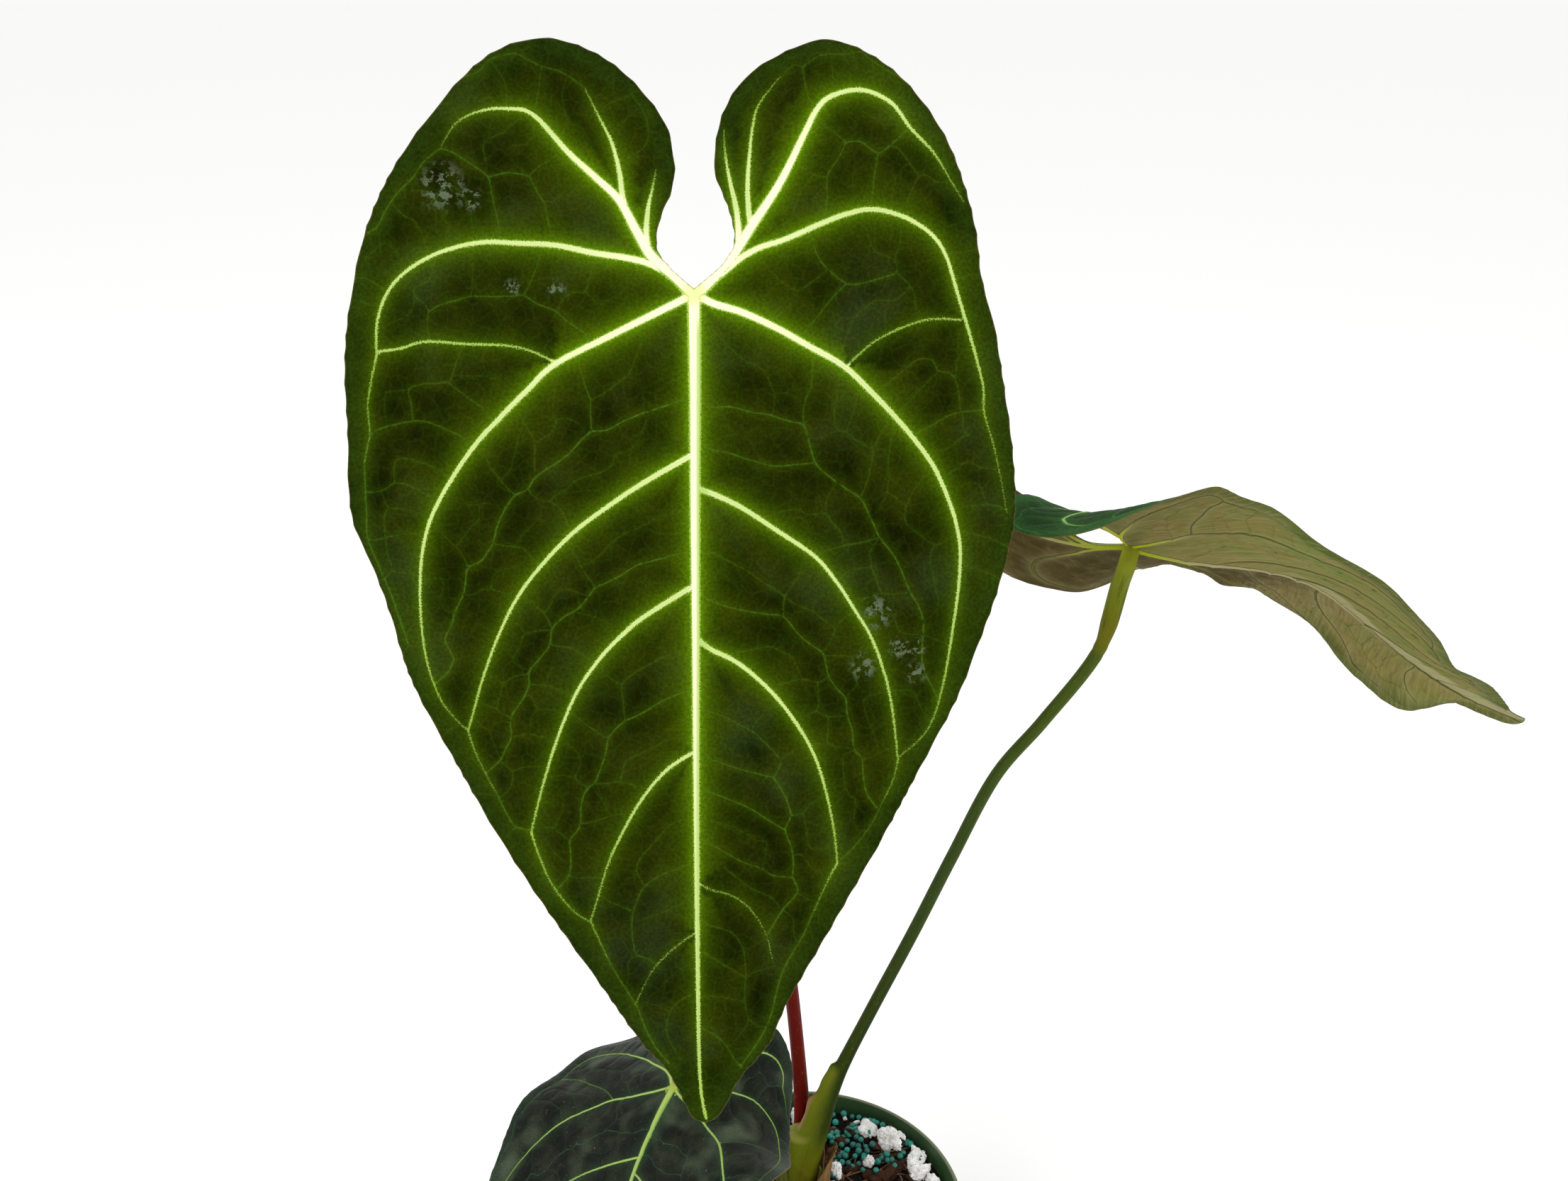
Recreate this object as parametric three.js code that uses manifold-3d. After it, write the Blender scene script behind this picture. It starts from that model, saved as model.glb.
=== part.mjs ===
// Potted anthurium regale: three velvet leaves on their stalks, a short rooted stem, the potting mix
// and a plain nursery pot. Millimetres, +Z up, origin at the middle of the pot's base.
import * as THREE from 'three';
import { mergeVertices } from 'three/addons/utils/BufferGeometryUtils.js';
import Module from 'manifold-3d';

const wasm = await Module();
wasm.setup();

// Driving dimensions of the pot
const POT_HEIGHT = 120;
const POT_RIM_RADIUS = 63.5;
const POT_BASE_RADIUS = 45;
const POT_WALL = 1.5;
const POT_LIP_HEIGHT = 9;
const POT_LIP_STEP = 2.2;
const POT_FOOT_CHAMFER = 2.5;
const POT_SIDES = 40;
const POT_LIP_FOOT = POT_HEIGHT - POT_LIP_HEIGHT;
const POT_NECK_RADIUS = POT_RIM_RADIUS - POT_LIP_STEP;
const POT_INSIDE = [
  [POT_NECK_RADIUS - POT_WALL + 0.4, POT_LIP_FOOT + 1.5],
  [POT_NECK_RADIUS - POT_WALL - 0.6, POT_LIP_FOOT - 2],
  [POT_BASE_RADIUS - POT_WALL + 0.2, POT_FOOT_CHAMFER + 2],
  [POT_BASE_RADIUS - POT_WALL - 2, POT_WALL],
];
const DRAIN_COUNT = 8;
const DRAIN_RADIUS = 4.5;
const DRAIN_CIRCLE = 38;

// Driving dimensions of the potting mix
const MIX_BELOW_RIM = 8;
const MIX_TOP = POT_HEIGHT - MIX_BELOW_RIM;
const MIX_SWELL = 1.2;
const MIX_SEED = 11;
const STEM_CLEARING = 18;

// Clearance between pieces that touch
const GAP = 0.3;

// Driving dimensions of the rooted stem
const STEM_CENTRE = [-1.5, 12];
const STEM_RADIUS = 10;
const STEM_BOTTOM = 92;
const STEM_TOP = 125;
const ROOT_COUNT = 7;
const ROOT_RADIUS = 1.9;
const ROOT_SEED = 5;
const ROOT_START = 101;
const ROOT_REACH = [24, 31];
const ROOT_DEPTH = [42, 72];
const ROOT_BEND = 0.25;

// Driving dimensions of a blade
const BLADE_THICKNESS = 0.8;
const MIDRIB_HEIGHT = 1.1;
const RIB_HALF_WIDTH = 1.3;
const RIB_HEIGHT = 0.7;
const EDGE_RIB_HEIGHT = 0.25;
const QUILT_HEIGHT = 0.8;
const MIDRIB_STEPS = 16;
const RIB_STEPS = 10;
const RIB_NARROWING = 0.4;
const RIB_FADING = 0.75;
const RIB_BASE_SHARE = [0.12, 0.3];
const EDGE_SAMPLES = 600;
const WAVE_REACH = 90;
const LEFT_NOTCH_SPACING = 1.45;
const RIGHT_NOTCH_SPACING = 1.22;
const WIDE_START = 20;

// The leaf shape of this plant, laid flat at the main leaf's size: x to the right as the upper face
// is seen with the tip down, y toward the lobes, and the origin where the stalk meets the ribs.
const PATTERN_MIDRIB = 228;
const NOTCH = [0, 1.4];
const TIP = [3.1, -230.4];
const MIDRIB_LINE = [NOTCH, [0.3, -20], [0.5, -94], [0.7, -150], [1, -190], TIP];

const LEFT_EDGE = [
  NOTCH, [-6.1, 6.7], [-10.2, 12.4], [-9.7, 20.4], [-6.2, 30], [-5.9, 38.3], [-8.8, 49.1],
  [-18.4, 60.8], [-29, 67.7], [-41.6, 70.3], [-54.2, 66.3], [-64.5, 57.7], [-74.3, 44.6],
  [-83.8, 28.8], [-90.3, 15.6], [-93.5, 4.3], [-95.8, -12.7], [-97.3, -33.1], [-96.4, -59.9],
  [-92.1, -73.1], [-85.9, -90.3], [-80.2, -106.6], [-71.5, -123.7], [-57.9, -146.1],
  [-43.4, -168.3], [-27.3, -190.2], [-15.8, -206.3], [-6.7, -217], [-1, -228.3], TIP,
];

const RIGHT_EDGE = [
  NOTCH, [8, 8.5], [11.1, 14.5], [9.8, 22.9], [6, 33.1], [5.6, 40.2], [7.9, 51.5], [14.3, 61.5],
  [25.6, 68.3], [36.9, 70.9], [47.8, 66.7], [58.4, 57.8], [68.6, 42.9], [74.4, 29.5], [77.7, 16.9],
  [79.2, 3.8], [83.1, -9.5], [86.3, -24.9], [89.1, -45.6], [90.2, -62.4], [86.6, -78.5],
  [80.5, -95.5], [73.9, -112.4], [64.1, -129.9], [50.2, -155], [39.6, -172.9], [26.1, -195.8],
  [20.7, -207.9], [12.8, -217.4], [6.9, -227.9], TIP,
];

// Ribs from the lobe to the tip, each from its foot on the midrib toward the edge.
const LEFT_RIBS = [
  [[-2, -1], [-11.6, 9.6], [-15.9, 16.7], [-21.3, 26.5], [-35, 38.6], [-44.7, 48.1], [-58.5, 49.1],
    [-69.4, 39.2], [-77, 32]],
  [[-2, -3.5], [-13, 6.2], [-28, 11.2], [-48.3, 13.6], [-64, 12.8], [-79, 6.1], [-86.9, -7]],
  [[-2, -6], [-21.1, -10.7], [-38, -19.2], [-53.9, -33.9], [-70.4, -55.3], [-77.4, -76.5]],
  [[-1.8, -45.3], [-13.3, -51.8], [-33, -65.3], [-48.6, -82.2], [-58.8, -104.3], [-64.1, -121.3]],
  [[-1.6, -81.2], [-13.4, -88.8], [-26.6, -101.1], [-38.7, -123.9], [-45.8, -149.3]],
  [[-1.3, -127], [-12.9, -137.4], [-23.7, -156.8], [-29.1, -173.9]],
  [[-0.6, -177], [-5.8, -181], [-11.8, -187.5], [-16.6, -197.1]],
];

const RIGHT_RIBS = [
  [[2, -1], [10.7, 11.4], [16.2, 20.2], [23.9, 30.9], [30.9, 44.6], [38.5, 54.5], [50, 54],
    [61, 44.2], [70, 32.5]],
  [[2, -3.5], [12, 9], [25.3, 15.3], [48.6, 23.1], [60.2, 19.8], [69.4, 10.1], [73.5, 0]],
  [[2, -6], [22.3, -9.2], [41.2, -19.6], [55.7, -33.6], [68.1, -49.9], [74.7, -75.5]],
  [[2, -54], [13.2, -59], [33.4, -72.3], [44.7, -87.2], [52.5, -102.9], [56.9, -128.6]],
  [[2.2, -95.7], [12, -101.8], [27.2, -117.1], [36.1, -135.8], [39.8, -157.8]],
  [[2.2, -163], [10.6, -166.4], [19.6, -176.6], [21.5, -184]],
];

// One leaf each. Stations run from -0.31 at the lobes, 0 at the stalk, to 1 at the tip. fall is the
// axis's slope downward, and a side's rise is its slope up from level, both in degrees.
const MAIN_LEAF = {
  midrib: 228,
  heading: -90,
  turn: 0,
  stalk: [-33.1, -40, 497.1],
  fall: [[-0.31, 54], [0, 61], [0.25, 65], [0.5, 66], [0.75, 67], [1, 70]],
  leftRise: [[-0.3, 10], [-0.15, 6], [0, 1], [0.15, -3], [0.35, -6], [0.6, -6], [0.85, -4], [1, 0]],
  rightRise: [[-0.3, 9], [-0.15, 5], [0, 0], [0.15, -4], [0.35, -7], [0.6, -6], [0.85, -3], [1, 0]],
  wave: 1.5,
  waves: 5,
  phase: 0.6,
};

const SIDE_LEAF = {
  midrib: 160,
  heading: -3,
  turn: 4,
  stalk: [105.7, 14, 397.7],
  fall: [[-0.31, 55], [0, 18], [0.25, 6], [0.5, 39], [0.75, 34], [1, 19]],
  leftRise: [[-0.3, -12], [-0.15, 28], [0, 40], [0.15, 39], [0.35, 24], [0.6, 18], [0.85, 30], [1, 30]],
  rightRise: [[-0.3, -51], [-0.15, -49], [0, -43], [0.15, -25], [0.35, -27], [0.6, -28], [0.85, -48],
    [1, -42]],
  wave: 1.2,
  waves: 6,
  phase: 2.1,
};

const YOUNG_LEAF = {
  midrib: 134,
  heading: -121,
  turn: 18,
  stalk: [-47.3, -36.3, 211.3],
  fall: [[-0.31, 21], [0, 26], [0.25, 43], [0.5, 46], [0.75, 49], [1, 52]],
  leftRise: [[-0.3, -41], [-0.15, -33], [0, -21], [0.15, -12], [0.35, -3], [0.6, 12], [0.85, 16],
    [1, 16]],
  rightRise: [[-0.3, -45], [-0.15, -45], [0, -27], [0.15, 10], [0.35, 20], [0.6, 18], [0.85, 16],
    [1, 15]],
  wave: 1.6,
  waves: 4.5,
  phase: 4,
};

// Stalks from the stem to just under their blades. width is radius against the share of the length.
const STALK_SIDES = 10;
const STALK_SEAT = [0, -2];
const STALK_APPROACH = 9;

const MAIN_STALK = {
  route: [[-1, 18.5, 119], [-1.1, 17.8, 150], [-3.4, 15.8, 188], [-7.5, 10.5, 235], [-14, 2, 290],
    [-22, -9, 355], [-29, -21.5, 425], [-32.6, -31, 470]],
  width: [[0, 4.4], [0.08, 3.2], [0.2, 2.7], [0.9, 2.6], [0.95, 3.1], [1, 3]],
  steps: 26,
};

const SIDE_STALK = {
  route: [[-1.2, 9, 119], [-0.7, 9, 131.6], [4, 9.5, 149.6], [13.1, 10.2, 177], [25.4, 11, 207.7],
    [39.8, 11.5, 242.7], [52.6, 12, 275.4], [67.3, 13, 310.2], [81.9, 13, 331.2], [98.8, 14, 357.4],
    [102.6, 14, 372], [104.9, 14, 387.3]],
  width: [[0, 6], [0.04, 6.6], [0.1, 5.6], [0.16, 3.6], [0.21, 2.7], [0.3, 2.4], [0.86, 2.3],
    [0.89, 3], [0.97, 3], [1, 2.8]],
  steps: 34,
};

const YOUNG_STALK = {
  route: [[-8, 8, 119], [-11, 4, 140], [-20, -6, 165], [-33, -20, 190], [-43, -31, 203]],
  width: [[0, 3.4], [0.15, 2.5], [0.85, 2.1], [0.92, 2.5], [1, 2.4]],
  steps: 14,
};

// Papery scales that the old leaves left at the foot of the stalks
const SCALE_THICKNESS = 0.8;
const SCALE_FOOT = MIX_TOP + 2.6;
const SCALE_CELLS = 6;
const SCALES = [
  { angle: -25, height: 26, spread: 50, foot: 10.9, lean: 2.5, tip: 3 },
  { angle: 80, height: 22, spread: 42, foot: 10.9, lean: 3.5, tip: -2 },
  { angle: 164, height: 16, spread: 32, foot: 10.9, lean: 4, tip: 2 },
];

// Perlite that shows at the right of the stem, as x, y and radius
const PERLITE_SEEN = [
  [27.6, 46, 4.2], [35.7, 40.8, 5], [44.6, 35.8, 3], [48.5, 29.7, 4.6], [46.2, 22.6, 3.4],
  [52.3, 15.5, 2.8], [27.4, 29.9, 3], [15.1, 26, 3.6],
];
const PERLITE_COUNT = 22;
const PERLITE_RADIUS = [1.8, 4.2];
const BARK_COUNT = 16;
const BARK_LENGTH = [8, 13];
const BARK_WIDTH = [4, 7];
const BARK_THICKNESS = 2.4;
const PRILL_COUNT = 24;
const PRILL_RADIUS = 1.3;

const toRadians = THREE.MathUtils.degToRad;
const { lerp } = THREE.MathUtils;

/** Even random numbers from 0 to 1, the same for the same seed. */
function randomFrom(seed) {
  let state = seed;
  return () => {
    state = (state * 16807) % 2147483647;
    return state / 2147483647;
  };
}

/** The smooth value at position x through rows of [position, value]. */
function valueAt(rows, x) {
  const last = rows.length - 1;
  const at = THREE.MathUtils.clamp(x, rows[0][0], rows[last][0]);
  let i = 0;
  while (i < last - 1 && rows[i + 1][0] < at) i += 1;
  const slopeAt = (n) => {
    const before = rows[Math.max(n - 1, 0)];
    const after = rows[Math.min(n + 1, last)];
    return (after[1] - before[1]) / (after[0] - before[0]);
  };
  const span = rows[i + 1][0] - rows[i][0];
  const t = (at - rows[i][0]) / span;
  const keep = 1 - t;
  const ends = rows[i][1] * keep * keep * (1 + 2 * t) + rows[i + 1][1] * t * t * (3 - 2 * t);
  return ends + span * t * keep * (slopeAt(i) * keep - slopeAt(i + 1) * t);
}

/** n + 1 points spaced evenly along a smooth line through flat points. */
function spaced(points, n) {
  const curve = new THREE.SplineCurve(points.map(([x, y]) => new THREE.Vector2(x, y)));
  curve.arcLengthDivisions = 400;
  return curve.getSpacedPoints(n).map((p) => [p.x, p.y]);
}

/** A closed manifold solid from any closed geometry, turned so that its faces point out. */
function solidFrom(geometry) {
  const bare = geometry.clone();
  bare.deleteAttribute('normal');
  bare.deleteAttribute('uv');
  const merged = mergeVertices(bare, 1e-4);
  const at = merged.attributes.position;
  const corners = [];
  const [a, b, c] = [new THREE.Vector3(), new THREE.Vector3(), new THREE.Vector3()];
  let volume = 0;
  for (let i = 0; i < merged.index.count; i += 3) {
    const face = [0, 1, 2].map((k) => merged.index.getX(i + k));
    if (new Set(face).size < 3) continue;
    a.fromBufferAttribute(at, face[0]);
    b.fromBufferAttribute(at, face[1]);
    c.fromBufferAttribute(at, face[2]);
    volume += a.dot(b.cross(c));
    corners.push(face);
  }
  const triVerts = corners.flatMap((face) => (volume < 0 ? face.reverse() : face));
  return new wasm.Manifold(new wasm.Mesh({
    numProp: 3,
    vertProperties: new Float32Array(at.array),
    triVerts: new Uint32Array(triVerts),
  }));
}

/** The geometry of a manifold solid. */
function geometryFrom(solid) {
  const { vertProperties, triVerts } = solid.getMesh();
  const geometry = new THREE.BufferGeometry();
  geometry.setAttribute('position', new THREE.BufferAttribute(vertProperties, 3));
  geometry.setIndex(new THREE.BufferAttribute(triVerts, 1));
  return geometry;
}

/** A geometry from rows of points and faces. */
function geometryOf(points, faces) {
  const geometry = new THREE.BufferGeometry();
  geometry.setAttribute('position', new THREE.Float32BufferAttribute(points.flat(), 3));
  geometry.setIndex(faces.flat());
  return geometry;
}

/** A round bar along a smooth route, with its radius given against the share of the length. */
function taperedBar(route, width, sides, steps, extra = 0) {
  const stations = route.map((p) => new THREE.Vector3(...p));
  const curve = new THREE.CatmullRomCurve3(stations, false, 'centripetal');
  const frames = curve.computeFrenetFrames(steps);
  const points = [];
  const faces = [];
  for (let i = 0; i <= steps; i += 1) {
    const middle = curve.getPointAt(i / steps);
    const radius = valueAt(width, i / steps) + extra;
    for (let k = 0; k < sides; k += 1) {
      const angle = (2 * Math.PI * k) / sides;
      const p = middle.clone();
      p.addScaledVector(frames.normals[i], radius * Math.cos(angle));
      p.addScaledVector(frames.binormals[i], radius * Math.sin(angle));
      points.push(p.toArray());
    }
  }
  const ends = [curve.getPointAt(0), curve.getPointAt(1)];
  ends[0].addScaledVector(frames.tangents[0], -extra);
  ends[1].addScaledVector(frames.tangents[steps], extra);
  points.push(ends[0].toArray(), ends[1].toArray());
  const [first, final] = [points.length - 2, points.length - 1];
  for (let k = 0; k < sides; k += 1) {
    const next = (k + 1) % sides;
    for (let i = 0; i < steps; i += 1) {
      const [a, b] = [i * sides + k, i * sides + next];
      faces.push([a, b, b + sides], [a, b + sides, a + sides]);
    }
    faces.push([first, next, k], [final, steps * sides + k, steps * sides + next]);
  }
  return geometryOf(points, faces);
}

/** Where the axis of a leaf runs, as a function from a station to its point and direction. */
function leafAxis(leaf) {
  const [start, end, count] = [-0.36, 1.04, 140];
  const step = (end - start) / count;
  const direction = (q) => {
    const fall = toRadians(valueAt(leaf.fall, q));
    const heading = toRadians(leaf.heading + leaf.turn * q);
    return new THREE.Vector3(
      Math.cos(fall) * Math.cos(heading),
      Math.cos(fall) * Math.sin(heading),
      -Math.sin(fall),
    );
  };
  const line = [new THREE.Vector3()];
  for (let i = 0; i < count; i += 1) {
    const move = direction(start + (i + 0.5) * step).multiplyScalar(step * leaf.midrib);
    line.push(line[i].clone().add(move));
  }
  const on = (q) => {
    const place = THREE.MathUtils.clamp((q - start) / step, 0, count - 1e-6);
    const i = Math.floor(place);
    return line[i].clone().lerp(line[i + 1], place - i);
  };
  const shift = new THREE.Vector3(...leaf.stalk).sub(on(0));
  return { point: (q) => on(q).add(shift), direction };
}

/** The middle surface of a leaf, as a function from flat pattern x and y to a point in space. */
function leafSurface(leaf) {
  const axis = leafAxis(leaf);
  const size = leaf.midrib / PATTERN_MIDRIB;
  const up = new THREE.Vector3(0, 0, 1);
  return (x, y) => {
    const q = -y / PATTERN_MIDRIB;
    const along = axis.direction(q);
    const side = new THREE.Vector3().crossVectors(up, along).normalize();
    const lift = new THREE.Vector3().crossVectors(along, side);
    const rise = toRadians(valueAt(x < 0 ? leaf.leftRise : leaf.rightRise, q));
    const out = Math.abs(x) * size;
    const edge = (Math.abs(x) / WAVE_REACH) ** 2;
    const ripple = leaf.wave * edge * Math.sin(2 * Math.PI * leaf.waves * q + leaf.phase + Math.sign(x));
    return axis.point(q)
      .addScaledVector(side, Math.cos(rise) * x * size)
      .addScaledVector(lift, Math.sin(rise) * out + ripple);
  };
}

/** The unit direction out of a leaf's upper face at pattern x and y. */
function leafNormal(surface, x, y) {
  const reach = 1.5;
  const across = surface(x + reach, y).sub(surface(x - reach, y));
  const along = surface(x, y + reach).sub(surface(x, y - reach));
  return across.cross(along).normalize();
}

/** Collects flat points with their rib height and lift, and the triangles between them. */
class FlatMesh {
  constructor() {
    this.points = [];
    this.faces = [];
    this.known = new Map();
  }

  add([x, y], height = 0, lift = 0) {
    const key = `${Math.round(x * 1000)},${Math.round(y * 1000)}`;
    if (!this.known.has(key)) {
      this.known.set(key, this.points.length);
      this.points.push({ x, y, height, lift });
    }
    const id = this.known.get(key);
    this.points[id].height = Math.max(this.points[id].height, height);
    return id;
  }

  face(a, b, c) {
    const [p, q, r] = [this.points[a], this.points[b], this.points[c]];
    const area = (q.x - p.x) * (r.y - p.y) - (q.y - p.y) * (r.x - p.x);
    if (a === b || b === c || c === a) return;
    this.faces.push(area > 0 ? [a, b, c] : [a, c, b]);
  }

  /** Triangles between two lines with the same number of points. */
  strip(first, second) {
    for (let k = 0; k < first.length - 1; k += 1) {
      this.face(first[k], first[k + 1], second[k + 1]);
      this.face(first[k], second[k + 1], second[k]);
    }
  }

  /** Triangles between two lines of points that may differ in number. */
  zip(first, second) {
    const gap = (a, b) => {
      const [p, q] = [this.points[a], this.points[b]];
      return Math.hypot(p.x - q.x, p.y - q.y);
    };
    let [i, j] = [0, 0];
    while (i < first.length - 1 || j < second.length - 1) {
      const stepFirst = i < first.length - 1 ? gap(first[i + 1], second[j]) : Infinity;
      const stepSecond = j < second.length - 1 ? gap(first[i], second[j + 1]) : Infinity;
      if (stepFirst < stepSecond) {
        this.face(first[i], first[i + 1], second[j]);
        i += 1;
      } else {
        this.face(first[i], second[j + 1], second[j]);
        j += 1;
      }
    }
  }
}

const between = (a, b, t) => a.map((v, i) => v + (b[i] - v) * t);

/** The index of the edge point nearest to p. */
function nearestOnEdge(edge, p) {
  const far = edge.map(([x, y]) => Math.hypot(x - p[0], y - p[1]));
  return far.indexOf(Math.min(...far));
}

/** Where a panel's first row has points: also in its middle where it is wide. */
function startStations(inner) {
  const [a, b] = [inner(0), inner(1)];
  return Math.hypot(a[0] - b[0], a[1] - b[1]) > WIDE_START ? [0, 0.5, 1] : [0, 1];
}

/** One panel between two ribs, from the midrib to the leaf's edge. Returns its points on the midrib. */
function addPanel(mesh, ribs, inner, outer, tops) {
  const [near, far] = ribs;
  const foot = [];
  let before = null;
  for (let i = 0; i <= RIB_STEPS; i += 1) {
    const p = i / RIB_STEPS;
    const width = Math.hypot(near[i][0] - far[i][0], near[i][1] - far[i][1]);
    const baseWidth = RIB_HALF_WIDTH * (1 + RIB_NARROWING - p);
    const base = THREE.MathUtils.clamp(baseWidth / Math.max(width, 0.01), ...RIB_BASE_SHARE);
    const across = i > 0 ? [0, base, 0.5, 1 - base, 1] : startStations(inner);
    const row = across.map((q) => {
      const sides = between(near[i], far[i], q);
      const ends = between(inner(q), outer(q), p);
      const corners = between(between(inner(0), inner(1), q), between(outer(0), outer(1), q), p);
      const place = sides.map((v, k) => v + ends[k] - corners[k]);
      const edgeRib = i === RIB_STEPS - 1 ? EDGE_RIB_HEIGHT : 0;
      const top = q === 0 ? tops[0] : tops[1];
      const crest = q === 0 || q === 1 ? top * (1 - RIB_FADING * p) : 0;
      const quilt = q === 0.5 ? QUILT_HEIGHT * Math.sin(Math.PI * p) : 0;
      return mesh.add(place, i === RIB_STEPS ? 0 : Math.max(crest, edgeRib), quilt);
    });
    if (i === 0) foot.push(...row);
    else if (i === 1) mesh.zip(before, row);
    else mesh.strip(before, row);
    before = row;
  }
  return foot;
}

/** The panels of one side of the leaf, from the notch to the tip. Returns the points on the midrib. */
function addSide(mesh, edgePoints, ribPoints, notchSpacing) {
  const edge = spaced(edgePoints, EDGE_SAMPLES);
  const ends = ribPoints.map((rib) => nearestOnEdge(edge, rib[rib.length - 1]));
  const ribs = ribPoints.map((rib, i) => spaced([...rib, edge[ends[i]]], RIB_STEPS));
  const lines = [null, ...ribs, null];
  const stops = [null, ...ends, edge.length - 1];
  const starts = [NOTCH, ...ribPoints.map((rib) => rib[0]), TIP];
  const midrib = [];
  for (let i = 0; i < lines.length - 1; i += 1) {
    const along = (from, to) => (q) => edge[Math.round(from + (to - from) * q)];
    const outer = i === 0 ? () => edge[stops[1]] : along(stops[i], stops[i + 1]);
    const sinus = Array.from({ length: RIB_STEPS + 1 }, (_, k) => (
      along(0, stops[1])((k / RIB_STEPS) ** notchSpacing)));
    const point = Array.from({ length: RIB_STEPS + 1 }, () => TIP);
    const pair = [lines[i] ?? sinus, lines[i + 1] ?? point];
    const inner = (q) => between(starts[i], starts[i + 1], q);
    const tops = [i === 0 ? 0 : RIB_HEIGHT, i === ribs.length ? 0 : RIB_HEIGHT];
    midrib.push(...addPanel(mesh, pair, inner, outer, tops));
  }
  return midrib.filter((id, i) => id !== midrib[i - 1]);
}

/** The flat mesh of the whole leaf pattern with its ribs. */
function leafPattern() {
  const mesh = new FlatMesh();
  const left = addSide(mesh, LEFT_EDGE, LEFT_RIBS, LEFT_NOTCH_SPACING);
  const right = addSide(mesh, RIGHT_EDGE, RIGHT_RIBS, RIGHT_NOTCH_SPACING);
  const ids = spaced(MIDRIB_LINE, MIDRIB_STEPS).map((p, i) => {
    const atEnd = i === 0 || i === MIDRIB_STEPS;
    return mesh.add(p, atEnd ? 0 : MIDRIB_HEIGHT * (1.1 - i / MIDRIB_STEPS));
  });
  mesh.zip(left, ids);
  mesh.zip(right, ids);
  return mesh;
}

/** The closed geometry of one blade. extra thickens it on both faces. */
function bladeGeometry(leaf, pattern, extra = 0) {
  const surface = leafSurface(leaf);
  const points = [];
  pattern.points.forEach(({ x, y, height, lift }) => {
    const middle = surface(x, y);
    const normal = leafNormal(surface, x, y);
    const half = BLADE_THICKNESS / 2 + height + extra;
    points.push(middle.clone().addScaledVector(normal, lift + half).toArray());
    points.push(middle.clone().addScaledVector(normal, lift - half).toArray());
  });
  const faces = [];
  const open = new Map();
  pattern.faces.forEach((face) => {
    faces.push(face.map((id) => 2 * id));
    faces.push(face.map((id) => 2 * id + 1).reverse());
    face.forEach((a, k) => {
      const b = face[(k + 1) % 3];
      if (!open.delete(`${b},${a}`)) open.set(`${a},${b}`, [a, b]);
    });
  });
  open.forEach(([a, b]) => {
    faces.push([2 * a, 2 * a + 1, 2 * b + 1], [2 * a, 2 * b + 1, 2 * b]);
  });
  return geometryOf(points, faces);
}

/** A stalk's bar up to the blade's middle surface. extra thickens it. */
function stalkBar({ stalk, leaf }, extra = 0) {
  const surface = leafSurface(leaf);
  const end = surface(...STALK_SEAT);
  const approach = end.clone().addScaledVector(leafNormal(surface, ...STALK_SEAT), -STALK_APPROACH);
  const route = [...stalk.route, approach.toArray(), end.toArray()];
  return solidFrom(taperedBar(route, stalk.width, STALK_SIDES, stalk.steps, extra));
}

/** A stalk trimmed back to the blade's underside and to the stalks that its foot clasps. */
function stalkSolid(pair, pattern, clasped) {
  const trimmed = stalkBar(pair).subtract(solidFrom(bladeGeometry(pair.leaf, pattern, GAP)));
  return clasped.reduce((solid, other) => solid.subtract(stalkBar(other, GAP)), trimmed);
}

/** A body turned round the pot's axis from rows of [radius, height]. */
function turnedGeometry(profile) {
  const turned = new THREE.LatheGeometry(profile.map(([r, z]) => new THREE.Vector2(r, z)), POT_SIDES);
  return turned.rotateX(Math.PI / 2);
}

/** The pot's wall, floor and rolled rim as one turned profile, with drain holes through the floor. */
function potSolid() {
  const outside = [
    [0, 0],
    [POT_BASE_RADIUS - POT_FOOT_CHAMFER, 0],
    [POT_BASE_RADIUS, POT_FOOT_CHAMFER],
    [POT_NECK_RADIUS - 0.6, POT_LIP_FOOT - 2],
    [POT_NECK_RADIUS, POT_LIP_FOOT],
    [POT_RIM_RADIUS - 0.8, POT_LIP_FOOT + 0.5],
    [POT_RIM_RADIUS - 0.4, POT_HEIGHT - 1.4],
    [POT_RIM_RADIUS - 0.9, POT_HEIGHT - 0.3],
    [POT_RIM_RADIUS - 1.6, POT_HEIGHT],
    [POT_RIM_RADIUS - 2.3, POT_HEIGHT - 0.6],
  ];
  const profile = [...outside, ...POT_INSIDE, [0, POT_WALL]];
  let pot = solidFrom(turnedGeometry(profile));
  for (let i = 0; i < DRAIN_COUNT; i += 1) {
    const angle = (2 * Math.PI * (i + 0.5)) / DRAIN_COUNT;
    const drill = new THREE.CylinderGeometry(DRAIN_RADIUS, DRAIN_RADIUS, 4 * POT_WALL, 12);
    drill.rotateX(Math.PI / 2);
    drill.translate(DRAIN_CIRCLE * Math.cos(angle), DRAIN_CIRCLE * Math.sin(angle), 0);
    pot = pot.subtract(solidFrom(drill));
  }
  return pot;
}

/** The short thick stem with its ringed nodes. extra thickens it. */
function stemBar(extra) {
  const [x, y] = STEM_CENTRE;
  const route = [0, 0.25, 0.5, 0.75, 1].map((t) => [x, y, STEM_BOTTOM + t * (STEM_TOP - STEM_BOTTOM)]);
  const rings = [[0, 0.45], [0.15, 0.75], [0.35, 0.92], [0.5, 0.86], [0.65, 0.96], [0.8, 1], [1, 0.9]];
  return solidFrom(taperedBar(route, rings.map(([t, r]) => [t, r * STEM_RADIUS]), 14, 8, extra));
}

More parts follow.
